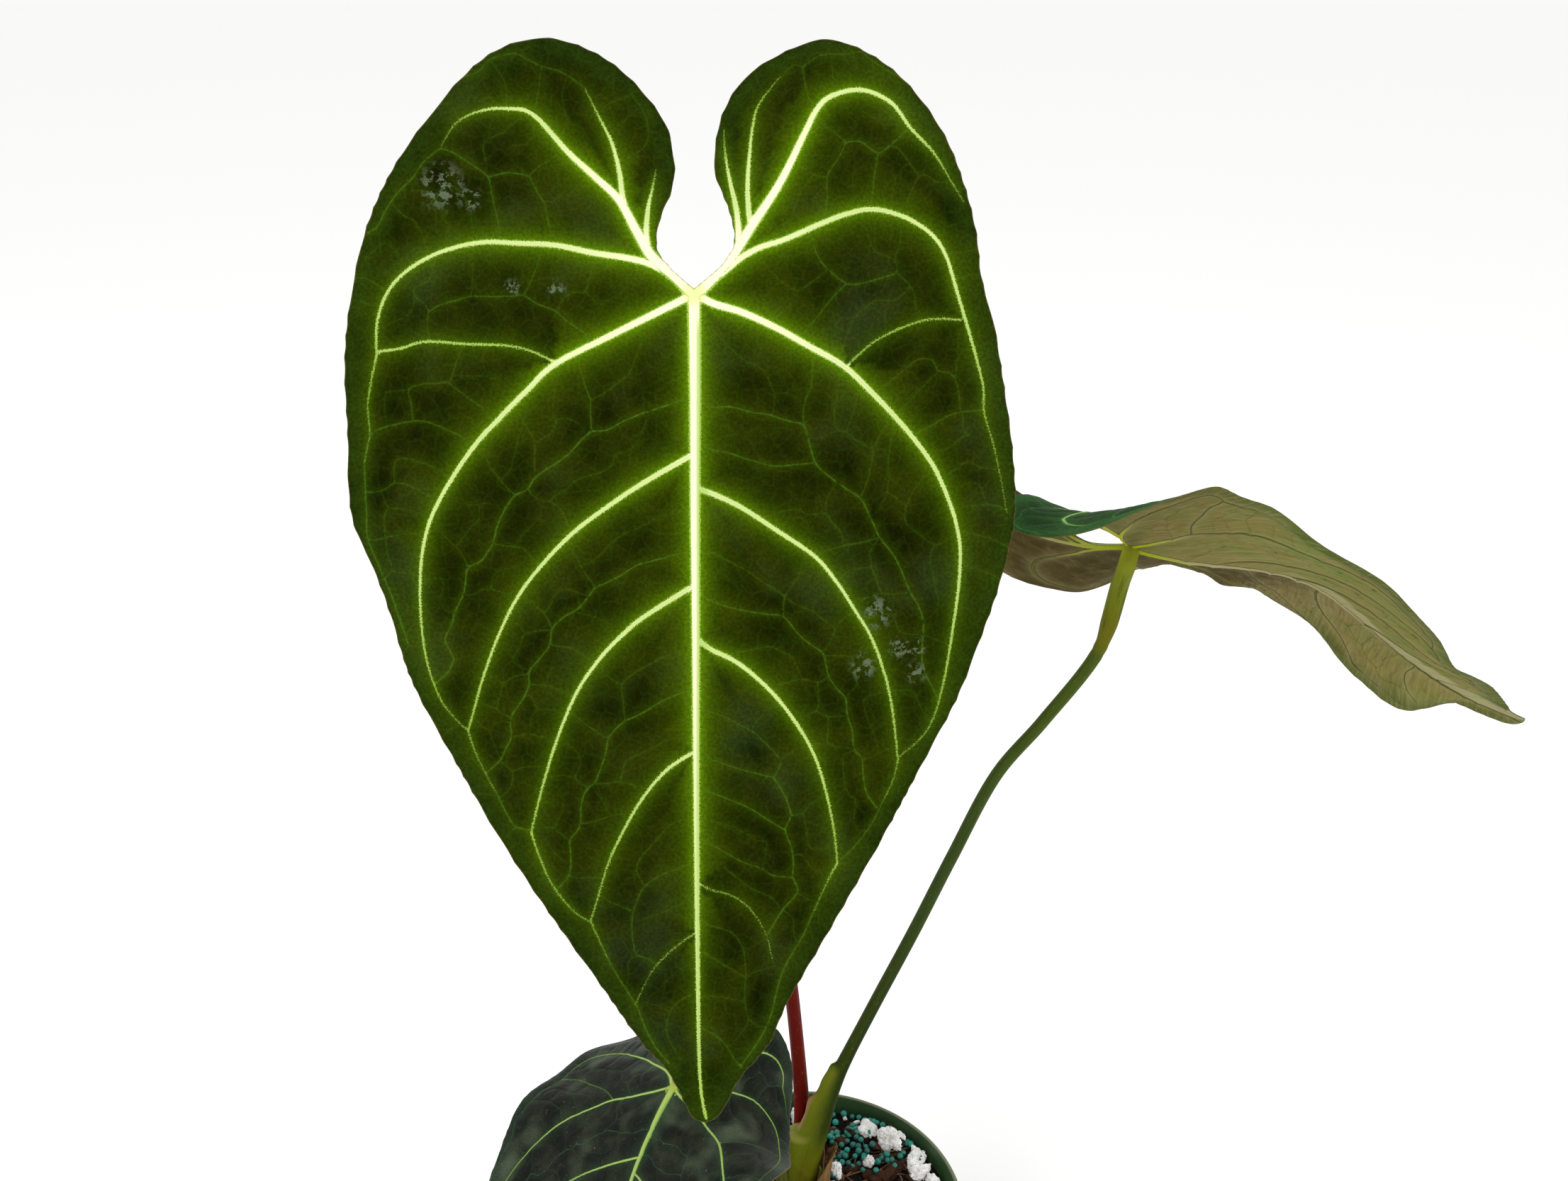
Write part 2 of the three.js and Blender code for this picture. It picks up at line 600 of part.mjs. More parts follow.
/** Thick roots that leave the stem below the mix's surface and bend down. extra thickens them. */
function rootBars(extra) {
  const random = randomFrom(ROOT_SEED);
  const [x, y] = STEM_CENTRE;
  return Array.from({ length: ROOT_COUNT }, (_, i) => {
    const angle = (2 * Math.PI * (i + 0.35 * random())) / ROOT_COUNT;
    const reach = lerp(...ROOT_REACH, random());
    const depth = lerp(...ROOT_DEPTH, random());
    const bend = lerp(ROOT_BEND, -ROOT_BEND, random());
    const route = [[0, 0], [0.45, 0.12], [0.85, 0.4], [1, 0.75], [1.02, 1]].map(([out, down]) => {
      const turned = angle + bend * down;
      return [
        x + reach * out * Math.cos(turned),
        y + reach * out * Math.sin(turned),
        ROOT_START - depth * down,
      ];
    });
    const width = [[0, ROOT_RADIUS], [0.7, ROOT_RADIUS * 0.85], [1, ROOT_RADIUS * 0.5]];
    return solidFrom(taperedBar(route, width, 6, 8, extra));
  });
}

/** A stem, its roots, and sockets for the stalks that rise from it. */
function stemSolid(stalks) {
  let stem = stemBar(0);
  rootBars(0).forEach((root) => {
    stem = stem.add(root);
  });
  stalks.forEach((stalk) => {
    stem = stem.subtract(stalkBar(stalk, GAP));
  });
  return stem;
}

/** How far the mix's uneven top stands above its mean level. */
function mixSwell(x, y) {
  return MIX_SWELL * Math.sin(x / 7 + 1) * Math.cos(y / 9 - 0.5);
}

/** A lump of perlite: an icosahedron squashed and turned at random. */
function perliteLump(x, y, radius, random) {
  const lump = new THREE.IcosahedronGeometry(radius, 0);
  lump.scale(1, 0.75 + 0.25 * random(), 0.6 + 0.2 * random());
  lump.rotateZ(2 * Math.PI * random());
  lump.rotateX(0.5 - random());
  lump.translate(x, y, MIX_TOP + mixSwell(x, y) + radius * 0.25);
  return lump;
}

/** The potting mix: a plug that fills the pot, with perlite, bark and prills raised from its top. */
function mixSolid(stem) {
  const random = randomFrom(MIX_SEED);
  const [lip, wallTop, wallFoot, floor] = POT_INSIDE;
  const high = wallTop[0] - GAP;
  const lower = [[0, floor[1] + GAP], ...[floor, wallFoot].map(([r, z]) => [r - GAP, z + GAP])];
  const mouth = [[lip[0] - GAP, lip[1]], [lip[0] - GAP, POT_HEIGHT], [0, POT_HEIGHT]];
  const room = [...lower, [high, wallTop[1]], ...mouth];
  const profile = [
    ...lower,
    [high, wallTop[1]],
    [high - 0.4, MIX_TOP - 1.4],
    [high - 2.4, MIX_TOP - 0.4],
    ...[0.8, 0.64, 0.48, 0.3, 0].map((share) => [high * share, MIX_TOP]),
  ];
  const plug = turnedGeometry(profile);
  const at = plug.attributes.position;
  for (let i = 0; i < at.count; i += 1) {
    const [x, y, z] = [at.getX(i), at.getY(i), at.getZ(i)];
    if (z > MIX_TOP - 0.5) at.setZ(i, z + mixSwell(x, y));
  }
  const lumps = PERLITE_SEEN.map(([x, y, radius]) => perliteLump(x, y, radius, random));
  const anywhere = (limit) => {
    const angle = 2 * Math.PI * random();
    const out = Math.sqrt(random()) * limit;
    const place = [out * Math.cos(angle), out * Math.sin(angle)];
    const fromStem = Math.hypot(place[0] - STEM_CENTRE[0], place[1] - STEM_CENTRE[1]);
    return fromStem > STEM_CLEARING ? place : anywhere(limit);
  };
  for (let i = 0; i < PERLITE_COUNT; i += 1) {
    const radius = lerp(...PERLITE_RADIUS, random());
    lumps.push(perliteLump(...anywhere(high - 8), radius, random));
  }
  for (let i = 0; i < BARK_COUNT; i += 1) {
    const [length, width] = [BARK_LENGTH, BARK_WIDTH].map((range) => lerp(...range, random()));
    const chip = new THREE.BoxGeometry(length, width, BARK_THICKNESS);
    chip.rotateX(0.6 * (random() - 0.5));
    chip.rotateY(0.5 * (random() - 0.5));
    chip.rotateZ(Math.PI * random());
    const [x, y] = anywhere(high - 10);
    chip.translate(x, y, MIX_TOP + mixSwell(x, y) + 0.4);
    lumps.push(chip);
  }
  for (let i = 0; i < PRILL_COUNT; i += 1) {
    const prill = new THREE.OctahedronGeometry(PRILL_RADIUS, 0);
    prill.rotateZ(Math.PI * random());
    const [x, y] = anywhere(high - 6);
    prill.translate(x, y, MIX_TOP + mixSwell(x, y) + 0.3);
    lumps.push(prill);
  }
  const mix = lumps.reduce((solid, lump) => solid.add(solidFrom(lump)), solidFrom(plug));
  const hollow = rootBars(GAP).reduce((solid, root) => solid.add(root), stemBar(GAP));
  return mix.intersect(solidFrom(turnedGeometry(room))).subtract(hollow).subtract(stem);
}

/** A papery scale: a curved tongue that stands round part of the stem. */
function scaleGeometry({ angle, height, spread, foot, lean, tip }) {
  const [columns, rows] = [SCALE_CELLS, SCALE_CELLS];
  const points = [];
  const faces = [];
  const place = (column, row, depth) => {
    const t = row / rows;
    const share = Math.sqrt(Math.max(0, 1 - t ** 2.2));
    const across = (column / columns - 0.5) * 2;
    const turn = toRadians(angle + across * spread * Math.max(share, 0.06) + tip * t * 3);
    const out = foot + lean * t * t + depth;
    return [
      STEM_CENTRE[0] + out * Math.cos(turn),
      STEM_CENTRE[1] + out * Math.sin(turn),
      SCALE_FOOT + height * t,
    ];
  };
  for (let row = 0; row <= rows; row += 1) {
    for (let column = 0; column <= columns; column += 1) {
      points.push(place(column, row, SCALE_THICKNESS), place(column, row, 0));
    }
  }
  const id = (column, row, face) => 2 * (row * (columns + 1) + column) + face;
  const quad = (a, b, c, d) => faces.push([a, b, c], [a, c, d]);
  for (let row = 0; row < rows; row += 1) {
    for (let column = 0; column < columns; column += 1) {
      quad(...[[0, 0], [1, 0], [1, 1], [0, 1]].map(([c, r]) => id(column + c, row + r, 0)));
      quad(...[[0, 0], [0, 1], [1, 1], [1, 0]].map(([c, r]) => id(column + c, row + r, 1)));
    }
    quad(id(0, row, 1), id(0, row, 0), id(0, row + 1, 0), id(0, row + 1, 1));
    quad(id(columns, row, 0), id(columns, row, 1), id(columns, row + 1, 1), id(columns, row + 1, 0));
  }
  for (let column = 0; column < columns; column += 1) {
    quad(id(column, 0, 0), id(column, 0, 1), id(column + 1, 0, 1), id(column + 1, 0, 0));
    quad(id(column + 1, rows, 0), id(column + 1, rows, 1), id(column, rows, 1), id(column, rows, 0));
  }
  return geometryOf(points, faces);
}

const plant = new THREE.Group();

/** Adds a solid to the plant under a name, with its colour and finish. */
function addPart(name, solid, color, roughness, metalness = 0) {
  const material = new THREE.MeshStandardMaterial({ color, roughness, metalness });
  const mesh = new THREE.Mesh(geometryFrom(solid), material);
  mesh.name = name;
  plant.add(mesh);
  return solid;
}

const pattern = leafPattern();
addPart('pot', potSolid(), 0x3f6650, 0.45);
addPart('main_leaf_blade', solidFrom(bladeGeometry(MAIN_LEAF, pattern)), 0x1f3d0c, 0.7);
addPart('side_leaf_blade', solidFrom(bladeGeometry(SIDE_LEAF, pattern)), 0x5f6338, 0.75);
addPart('young_leaf_blade', solidFrom(bladeGeometry(YOUNG_LEAF, pattern)), 0x1e3a30, 0.6);
const mainStalk = { stalk: MAIN_STALK, leaf: MAIN_LEAF };
const sideStalk = { stalk: SIDE_STALK, leaf: SIDE_LEAF };
const youngStalk = { stalk: YOUNG_STALK, leaf: YOUNG_LEAF };
addPart('main_leaf_stalk', stalkSolid(mainStalk, pattern, []), 0x8c1f22, 0.5);
addPart('side_leaf_stalk', stalkSolid(sideStalk, pattern, [mainStalk]), 0x3d5a22, 0.5);
addPart('young_leaf_stalk', stalkSolid(youngStalk, pattern, [mainStalk, sideStalk]), 0x6f7a3a, 0.5);
const stem = addPart('stem_and_roots', stemSolid([mainStalk, sideStalk, youngStalk]), 0x7d7a45, 0.7);
addPart('potting_mix', mixSolid(stem), 0x3a2a20, 0.95);
SCALES.forEach((scale, i) => {
  addPart(`papery_scale_${i + 1}`, solidFrom(scaleGeometry(scale)), 0xa8865a, 0.85);
});

export default plant;
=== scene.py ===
"""Looks of the potted anthurium regale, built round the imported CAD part. Lengths here are millimetres
in the part's own frame; meshes are scaled to metres when they are made."""

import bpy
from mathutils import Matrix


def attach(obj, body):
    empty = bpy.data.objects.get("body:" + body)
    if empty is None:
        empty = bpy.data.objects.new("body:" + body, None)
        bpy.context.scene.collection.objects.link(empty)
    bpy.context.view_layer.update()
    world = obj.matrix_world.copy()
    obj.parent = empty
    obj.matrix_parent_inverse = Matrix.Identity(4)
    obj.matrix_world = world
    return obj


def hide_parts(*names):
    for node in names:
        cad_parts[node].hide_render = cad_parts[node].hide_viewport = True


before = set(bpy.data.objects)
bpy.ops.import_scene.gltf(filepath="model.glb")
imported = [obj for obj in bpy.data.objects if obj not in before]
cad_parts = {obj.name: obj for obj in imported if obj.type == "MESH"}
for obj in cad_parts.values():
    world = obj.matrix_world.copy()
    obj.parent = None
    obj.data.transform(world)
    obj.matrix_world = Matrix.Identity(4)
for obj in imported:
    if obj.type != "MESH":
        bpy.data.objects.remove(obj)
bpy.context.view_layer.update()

import math
import random

import bmesh
import bpy
import numpy as np
from mathutils import Euler, Vector, noise
from mathutils.geometry import delaunay_2d_cdt
from mathutils.kdtree import KDTree

MM = 0.001
# Without it the shifts of the veins would differ at each run
noise.seed_set(11)

# Lines, values and meshes


def smooth_value(rows, x):
    """The smooth value at x through rows of (position, value), as the part's source draws it."""
    rows = np.array(rows, float)
    place, value = rows.T
    last = len(rows) - 1
    n = np.arange(last + 1)
    before, after = np.maximum(n - 1, 0), np.minimum(n + 1, last)
    slope = (value[after] - value[before]) / (place[after] - place[before])
    at = np.clip(x, place[0], place[-1])
    i = np.searchsorted(place[1:-1], at, side="left")
    span = place[i + 1] - place[i]
    t = (at - place[i]) / span
    keep = 1 - t
    ends = value[i] * keep * keep * (1 + 2 * t) + value[i + 1] * t * t * (3 - 2 * t)
    return ends + span * t * keep * (slope[i] * keep - slope[i + 1] * t)


def smoothstep(low, high, x):
    """A smooth step from 0 at low to 1 at high."""
    t = np.clip((np.asarray(x, float) - low) / (high - low), 0, 1)
    return t * t * (3 - 2 * t)


def peak(x, middle, width):
    """A bell of height 1 at middle."""
    return np.exp(-(((x - middle) / width) ** 2))


def lengths(points):
    """The length of a polyline up to each of its points."""
    steps = np.linalg.norm(np.diff(points, axis=0), axis=1)
    return np.concatenate([[0], np.cumsum(steps)])


def spaced(points, count):
    """count points, evenly spaced along a polyline."""
    along = lengths(points)
    at = np.linspace(0, along[-1], count)
    return np.stack([np.interp(at, along, column) for column in points.T], 1)


def evenly(points, spacing):
    """Points about that far apart along a polyline."""
    points = np.asarray(points, float)
    return spaced(points, max(2, int(round(lengths(points)[-1] / spacing)) + 1))


def arc(b, c, v0, v1, count):
    """Points from b to just before c on a cubic curve with velocity v0 at b and v1 at c."""
    t = np.linspace(0, 1, count, endpoint=False)[:, None]
    return (2 * b - 2 * c + v0 + v1) * t**3 + (3 * c - 3 * b - 2 * v0 - v1) * t**2 + v0 * t + b


def spline(points, spacing):
    """A smooth line through points, sampled evenly."""
    p = np.asarray(points, float)
    if len(p) < 3:
        return evenly(p, spacing)
    padded = np.concatenate([p[:1], p, p[-1:]])
    parts = [arc(b, c, (c - a) / 2, (d - b) / 2, 24)
             for a, b, c, d in zip(padded, padded[1:], padded[2:], padded[3:])]
    return evenly(np.concatenate([*parts, p[-1:]]), spacing)


def route_line(points, count):
    """count + 1 points along a centripetal curve through points, spaced evenly."""
    p = np.asarray(points, float)
    padded = np.concatenate([[2 * p[0] - p[1]], p, [2 * p[-1] - p[-2]]])
    parts = []
    for a, b, c, d in zip(padded, padded[1:], padded[2:], padded[3:]):
        d0, d1, d2 = (np.linalg.norm(v) ** 0.5 for v in (b - a, c - b, d - c))
        v0 = ((b - a) / d0 - (c - a) / (d0 + d1) + (c - b) / d1) * d1
        v1 = ((c - b) / d1 - (d - b) / (d1 + d2) + (d - c) / d2) * d1
        parts.append(arc(b, c, v0, v1, 30))
    return spaced(np.concatenate([*parts, p[-1:]]), count + 1)


def unit(v):
    """Vectors made one long."""
    v = np.asarray(v, float)
    return v / np.maximum(np.linalg.norm(v, axis=-1, keepdims=True), 1e-12)


def quarter_turn(v):
    """Flat directions made one long and turned to the left."""
    return unit(np.stack([-v[:, 1], v[:, 0]], 1))


def circle(radius, count, start=0.0):
    """count points round a circle, as rows of x and y."""
    angle = start + np.arange(count) * 2 * np.pi / count
    return radius * np.stack([np.cos(angle), np.sin(angle)], 1)


def tree_of(points):
    """A search tree of points with two or three coordinates."""
    tree = KDTree(len(points))
    for i, p in enumerate(points):
        tree.insert((*p, 0)[:3], i)
    tree.balance()
    return tree


def nearest(tree, points):
    """The index and distance of the nearest tree point for each point."""
    found = [tree.find((x, y, 0)) for x, y in points]
    return np.array([f[1] for f in found]), np.array([f[2] for f in found])


def triangulate(points, edges, slack=1e-5):
    """Flat points and the triangles between them, all counterclockwise, that keep the edges. Points within
    slack become one."""
    flat = [Vector((float(x), float(y))) for x, y in points]
    verts, _, faces, *_ = delaunay_2d_cdt(flat, edges, [], 0, slack, False)
    xy = np.array([v[:] for v in verts])
    tri = np.array([f for f in faces if len(f) == 3])
    return xy, np.where((areas(xy, tri) < 0)[:, None], tri[:, ::-1], tri)


def areas(xy, tri):
    """Twice the area of each triangle, negative where it runs clockwise."""
    a, b, c = (xy[tri[:, k]] for k in range(3))
    return (b - a)[:, 0] * (c - a)[:, 1] - (b - a)[:, 1] * (c - a)[:, 0]


def sides_of(tri):
    """The three sides of each triangle, as pairs of point numbers."""
    return np.concatenate([tri[:, [0, 1]], tri[:, [1, 2]], tri[:, [2, 0]]])


def neighbours(loop):
    """The pairs of neighbours round a closed loop."""
    return list(zip(loop, [*loop[1:], loop[0]]))


def band(first, second):
    """The faces between two closed loops of point numbers."""
    return [(a, b, d, c) for (a, b), (c, d) in zip(neighbours(first), neighbours(second))]


def fan(centre, loop):
    """The triangles between a point and a closed loop."""
    return [(centre, a, b) for a, b in neighbours(loop)]


def joined(bodies):
    """The points and faces of several bodies as one."""
    points, faces = [], []
    for more, more_faces in bodies:
        start = len(points)
        faces += [tuple(k + start for k in face) for face in more_faces]
        points.extend(more)
    return points, faces


def new_mesh(name, points, faces, materials, slot, node=None):
    """A smooth mesh object in metres from millimetre points. It stands for the CAD node, if one is named."""
    mesh = bpy.data.meshes.new(name)
    mesh.from_pydata((np.asarray(points, float) * MM).tolist(), [], [list(map(int, f)) for f in faces])
    mesh.validate()
    for material in materials:
        mesh.materials.append(material)
    mesh.polygons.foreach_set("use_smooth", [True] * len(mesh.polygons))
    mesh.update()
    thing = bpy.data.objects.new(name, mesh)
    bpy.context.scene.collection.objects.link(thing)
    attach(thing, "root")
    if node:
        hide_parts(node)
    return thing


def point_attributes(thing, **values):
    """Gives the points of a mesh a number or a vector each, under each name."""
    for name, rows in values.items():
        rows = np.asarray(rows, np.float32)
        kind, key = ("FLOAT", "value") if rows.ndim == 1 else ("FLOAT_VECTOR", "vector")
        thing.data.attributes.new(name, kind, "POINT").data.foreach_set(key, rows.ravel())


# Materials


def rgb(text):
    """A linear colour from an sRGB one written as hex."""
    values = [int(text[i:i + 2], 16) / 255 for i in (0, 2, 4)]
    return tuple(v / 12.92 if v <= 0.04045 else ((v + 0.055) / 1.055) ** 2.4 for v in values)


class Look:
    """A material that is built up in coats of colour. A tone is hex text or a colour socket."""

    def __init__(self, name, base, roughness, **sockets):
        self.material = bpy.data.materials.new(name)
        self.material.use_nodes = True
        self.tree = self.material.node_tree
        self.shader = self.tree.nodes["Principled BSDF"]
        self.shader.inputs["Roughness"].default_value = roughness
        for key, value in sockets.items():
            self.shader.inputs[key.replace("_", " ")].default_value = value
        self.tone = base

    def put(self, socket, value):
        """Links a socket, or sets it to a number, a vector or a colour in hex."""
        if isinstance(value, bpy.types.NodeSocket):
            self.tree.links.new(value, socket)
        elif value is not None:
            socket.default_value = (*rgb(value), 1) if isinstance(value, str) else value

    def node(self, kind, values=(), **settings):
        """A new node with its settings and the values of its first inputs."""
        made = self.tree.nodes.new("ShaderNode" + kind)
        for key, value in settings.items():
            setattr(made, key, value)
        for socket, value in zip(made.inputs, values):
            self.put(socket, value)
        return made

    def fill(self, made, **values):
        """Sets inputs of a node by their names, and returns the node's outputs."""
        for key, value in values.items():
            self.put(made.inputs[key], value)
        return made.outputs

    def math(self, operation, *values, clamp=False):
        return self.node("Math", values, operation=operation, use_clamp=clamp).outputs[0]

    def vector_math(self, operation, *values, out=0):
        return self.node("VectorMath", values, operation=operation).outputs[out]

    def times(self, first, *others):
        """The product of values."""
        for value in others:
            first = self.math("MULTIPLY", first, value)
        return first

    def plus(self, first, *others):
        """The sum of values."""
        for value in others:
            first = self.math("ADD", first, value)
        return first

    def jitter(self, value, amount):
        """A value from 0 to 1, moved to lie within half the amount to either side of 0."""
        return self.math("MULTIPLY_ADD", value, amount, -amount / 2)

    def split(self, vector):
        """The three coordinates of a vector."""
        return self.node("SeparateXYZ", (vector,)).outputs

    def attribute(self, name, vector=False):
        return self.node("Attribute", attribute_name=name).outputs["Vector" if vector else "Fac"]

    def place(self):
        """Object coordinates in millimetres."""
        return self.vector_math("MULTIPLY", self.node("TexCoord").outputs["Object"], (1000, 1000, 1000))

    def noise(self, vector, size, detail=2.0, roughness=0.5, stretch=None):
        """Noise with features of about that size in millimetres, from 0 to 1."""
        if stretch:
            vector = self.vector_math("MULTIPLY", vector, stretch)
        return self.fill(self.node("TexNoise"), Vector=vector, Scale=1 / size, Detail=detail,
                         Roughness=roughness)["Fac"]

    def drift(self, vector, size, amount):
        """A smooth shift in every direction, of up to about half the amount."""
        shift = self.fill(self.node("TexNoise"), Vector=vector, Scale=1 / size)["Color"]
        shift = self.vector_math("SUBTRACT", shift, (0.5, 0.5, 0.5))
        return self.vector_math("MULTIPLY", shift, (amount, amount, amount))

    def cells(self, vector, size, feature="F1"):
        """The distance in a pattern of cells of about that size."""
        return self.fill(self.node("TexVoronoi", feature=feature), Vector=vector, Scale=1 / size)["Distance"]

    def step(self, value, low, high, to_low=0.0, to_high=1.0):
        """A smooth step from to_low at low to to_high at high."""
        values = (value, low, high, to_low, to_high)
        return self.node("MapRange", values, interpolation_type="SMOOTHSTEP").outputs[0]

    def fade(self, distance, reach):
        """1 at distance 0 or less, falling off over reach."""
        return self.math("EXPONENT", self.math("DIVIDE", self.math("MAXIMUM", distance, 0.0), -reach))

    def mix(self, share, a, b):
        """The tone a with that share of the tone b."""
        made = self.node("Mix", (share,), data_type="RGBA")
        self.put(made.inputs[6], a)
        self.put(made.inputs[7], b)
        return made.outputs[2]

    def coat(self, share, tone):
        """Covers that share of the colour so far with a tone."""
        self.tone = self.mix(share, self.tone, tone)

    def dim(self, factor):
        """Scales the colour so far."""
        made = self.node("VectorMath", (self.tone,), operation="SCALE")
        self.put(made.inputs["Scale"], factor)
        self.tone = made.outputs[0]

    def finish(self, height=None, distance=0.0, strength=0.5):
        """Sets the colour and the bump, and returns the material."""
        self.put(self.shader.inputs["Base Color"], self.tone)
        if height is not None:
            bump = self.fill(self.node("Bump"), Height=height, Distance=distance * MM, Strength=strength)
            self.put(self.shader.inputs["Normal"], bump[0])
        return self.material


class BladeLook(Look):
    """A look that knows where each point lies in the leaf pattern."""

    def __init__(self, name, base, roughness, **sockets):
        super().__init__(name, base, roughness, **sockets)
        self.flat = self.attribute("flat", vector=True)
        self.x, self.y, _ = self.split(self.flat)
        self.rib, self.width = self.attribute("rib"), self.attribute("rib_width")
        self.vein, self.strength = self.attribute("vein"), self.attribute("vein_strength")
        self.edge = self.attribute("margin")


def velvet_lamina(look, tones, painted_sheen_share, blotch):
    """The dark velvet between the ribs, with patches of painted sheen and a green margin."""
    look.coat(look.step(look.noise(look.flat, 15, 3), 0.35, 0.7), tones["mid"])
    # Patches of painted sheen, greyer and paler than the velvet
    look.coat(look.step(look.noise(look.flat, 31, 2), 0.5, 0.75, 0, painted_sheen_share), tones["painted_sheen"])
    margin = look.times(look.step(look.edge, 9, 1.5), look.step(blotch, 0.2, 0.75, 0.4, 0.85))
    look.coat(margin, tones["margin"])


def velvet_veins(look, tones, halo_share, vein_share, blotch, frayed, net):
    """The green glow beside ribs and veins, weaker towards the tip, then the veins and their fine net."""
    strong = look.math("MULTIPLY", look.width, 0.95, clamp=True)
    strong = look.times(strong, look.step(look.y, -222, -150, 0.35, 1))
    halo = look.times(look.fade(look.rib, 5.8), strong, look.step(blotch, 0.1, 0.8, 0.6, 1.0), halo_share)
    look.coat(halo, tones["halo"])
    look.coat(look.times(look.fade(look.vein, 1.6), look.strength, 0.42 * vein_share), tones["halo"])
    look.coat(look.step(net, 0.09, 0.02, 0.0, 0.07 * vein_share), tones["vein"])
    look.coat(look.times(look.fade(look.rib, 1.5), strong, halo_share), tones["glow"])
    plain = look.times(look.math("POWER", look.strength, 1.5), vein_share)
    line = look.step(look.plus(look.vein, look.jitter(frayed, 0.4)), 0.4, 0.0)
    look.coat(look.times(line, plain), tones["vein"])


def velvet_wear(look, specks, scars):
    """The grain of the velvet, then pale specks of dust and the scars, as x, y and size."""
    look.dim(look.step(look.noise(look.flat, 0.9, 4, 0.7), 0.3, 0.7, 0.7, 1.25))
    if specks:
        spots = look.step(look.noise(look.flat, 1.1, 2), 0.7, 0.76)
        streaks = look.step(look.noise(look.flat, 2.2, 4, 0.75, stretch=(1, 0.25, 1)), 0.66, 0.72)
        look.coat(look.times(look.math("MAXIMUM", spots, streaks), specks), "7f8c7c")
    for x, y, size in scars:
        away = look.vector_math("DISTANCE", look.flat, (x, y, 0), out=1)
        crumbs = look.step(look.noise(look.flat, 2.4, 4, 0.7), 0.5, 0.56)
        look.coat(look.times(look.step(away, size, size * 0.3), crumbs, 0.6), "66725a")


def rib_core(look, tones):
    """The colour of a rib's middle: cream where it is thick, with painted shade on the midrib's right side,
    and a darker line of painted shade along the middle where it is thin, as in a fine groove."""
    core = look.mix(look.step(look.width, 0.7, 1.3), tones["rib_core"], tones["cream"])
    # Painted shade on the midrib's right side
    shaded_right_side = look.times(look.step(look.x, 0.3, 1.1), look.step(look.x, 5, 3))
    shaded_right_side = look.times(shaded_right_side, look.step(look.y, -3, -12, 0, 0.85))
    core = look.mix(shaded_right_side, core, look.mix(0.5, tones["rib_core"], tones["rib_edge"]))
    # Painted shade: a darker line along the middle of thin ribs, as in a fine groove
    groove = look.step(look.plus(look.rib, look.width), 0.16, 0.04)
    return look.mix(look.times(groove, look.step(look.width, 1.15, 0.8, 0, 0.5)), core, tones["rib_edge"])


def velvet_ribs(look, tones, frayed):
    """The ribs with their frayed borders, the hub where they meet, and the blade's brown rim."""
    border = look.step(look.plus(look.rib, look.jitter(frayed, 1.7)), 0.14, -0.16)
    look.coat(look.times(border, look.step(look.width, 0.08, 0.4, 0.35, 1)), tones["rib_edge"])
    inner = look.plus(look.plus(look.rib, look.times(look.width, 0.3)), look.jitter(frayed, 0.5))
    inner = look.times(look.step(inner, 0.2, -0.12), look.step(look.width, 0.2, 0.6))
    look.coat(inner, rib_core(look, tones))
    hub = look.step(look.vector_math("LENGTH", look.flat, out=1), 5, 1.5, 0, 0.7)
    look.coat(look.times(hub, look.step(look.rib, 0.3, -0.3)), tones["hub"])
    rim = look.plus(look.edge, look.math("MULTIPLY_ADD", frayed, 0.3, -0.1))
    look.coat(look.step(rim, 0.5, 0.15, 0.0, 0.6), "6a5a3c")


def upper_look(name, tones, halo_share, vein_share, painted_sheen_share, roughness, sheen=0.0, shine=0.1, specks=0.0,
               scars=()):
    """The velvet upper face of a blade. tones gives the colours of its parts."""
    look = BladeLook(name, tones["dark"], roughness, Specular_IOR_Level=shine, Sheen_Weight=sheen,
                     Sheen_Roughness=0.42, Sheen_Tint=(0.92, 1.0, 0.88, 1))
    frayed, blotch = look.noise(look.flat, 0.42, 3), look.noise(look.flat, 4.5, 3)
    net = look.vector_math("ADD", look.flat, look.drift(look.flat, 3.0, 1.4))
    net = look.cells(net, 4.4, "DISTANCE_TO_EDGE")
    velvet_lamina(look, tones, painted_sheen_share, blotch)
    velvet_veins(look, tones, halo_share, vein_share, blotch, frayed, net)
    velvet_wear(look, specks, scars)
    velvet_ribs(look, tones, frayed)
    nap = look.times(look.noise(look.flat, 0.35, 2), 0.28)
    height = look.plus(look.step(look.vein, 0.0, 2.2), look.step(net, 0.0, 0.3, 0.0, 0.35), nap)
    return look.finish(height, 0.3)


def silk_streaks(look):
    """Fine streaks that sweep back from the midrib to both sides."""
    slope = look.plus(look.y, look.times(look.math("ABSOLUTE", look.x), 0.75))
    bent = look.node("CombineXYZ", (look.times(look.x, 0.07), slope)).outputs[0]
    return look.noise(look.vector_math("ADD", bent, look.drift(look.flat, 30, 7)), 1.7, 3, 0.6)


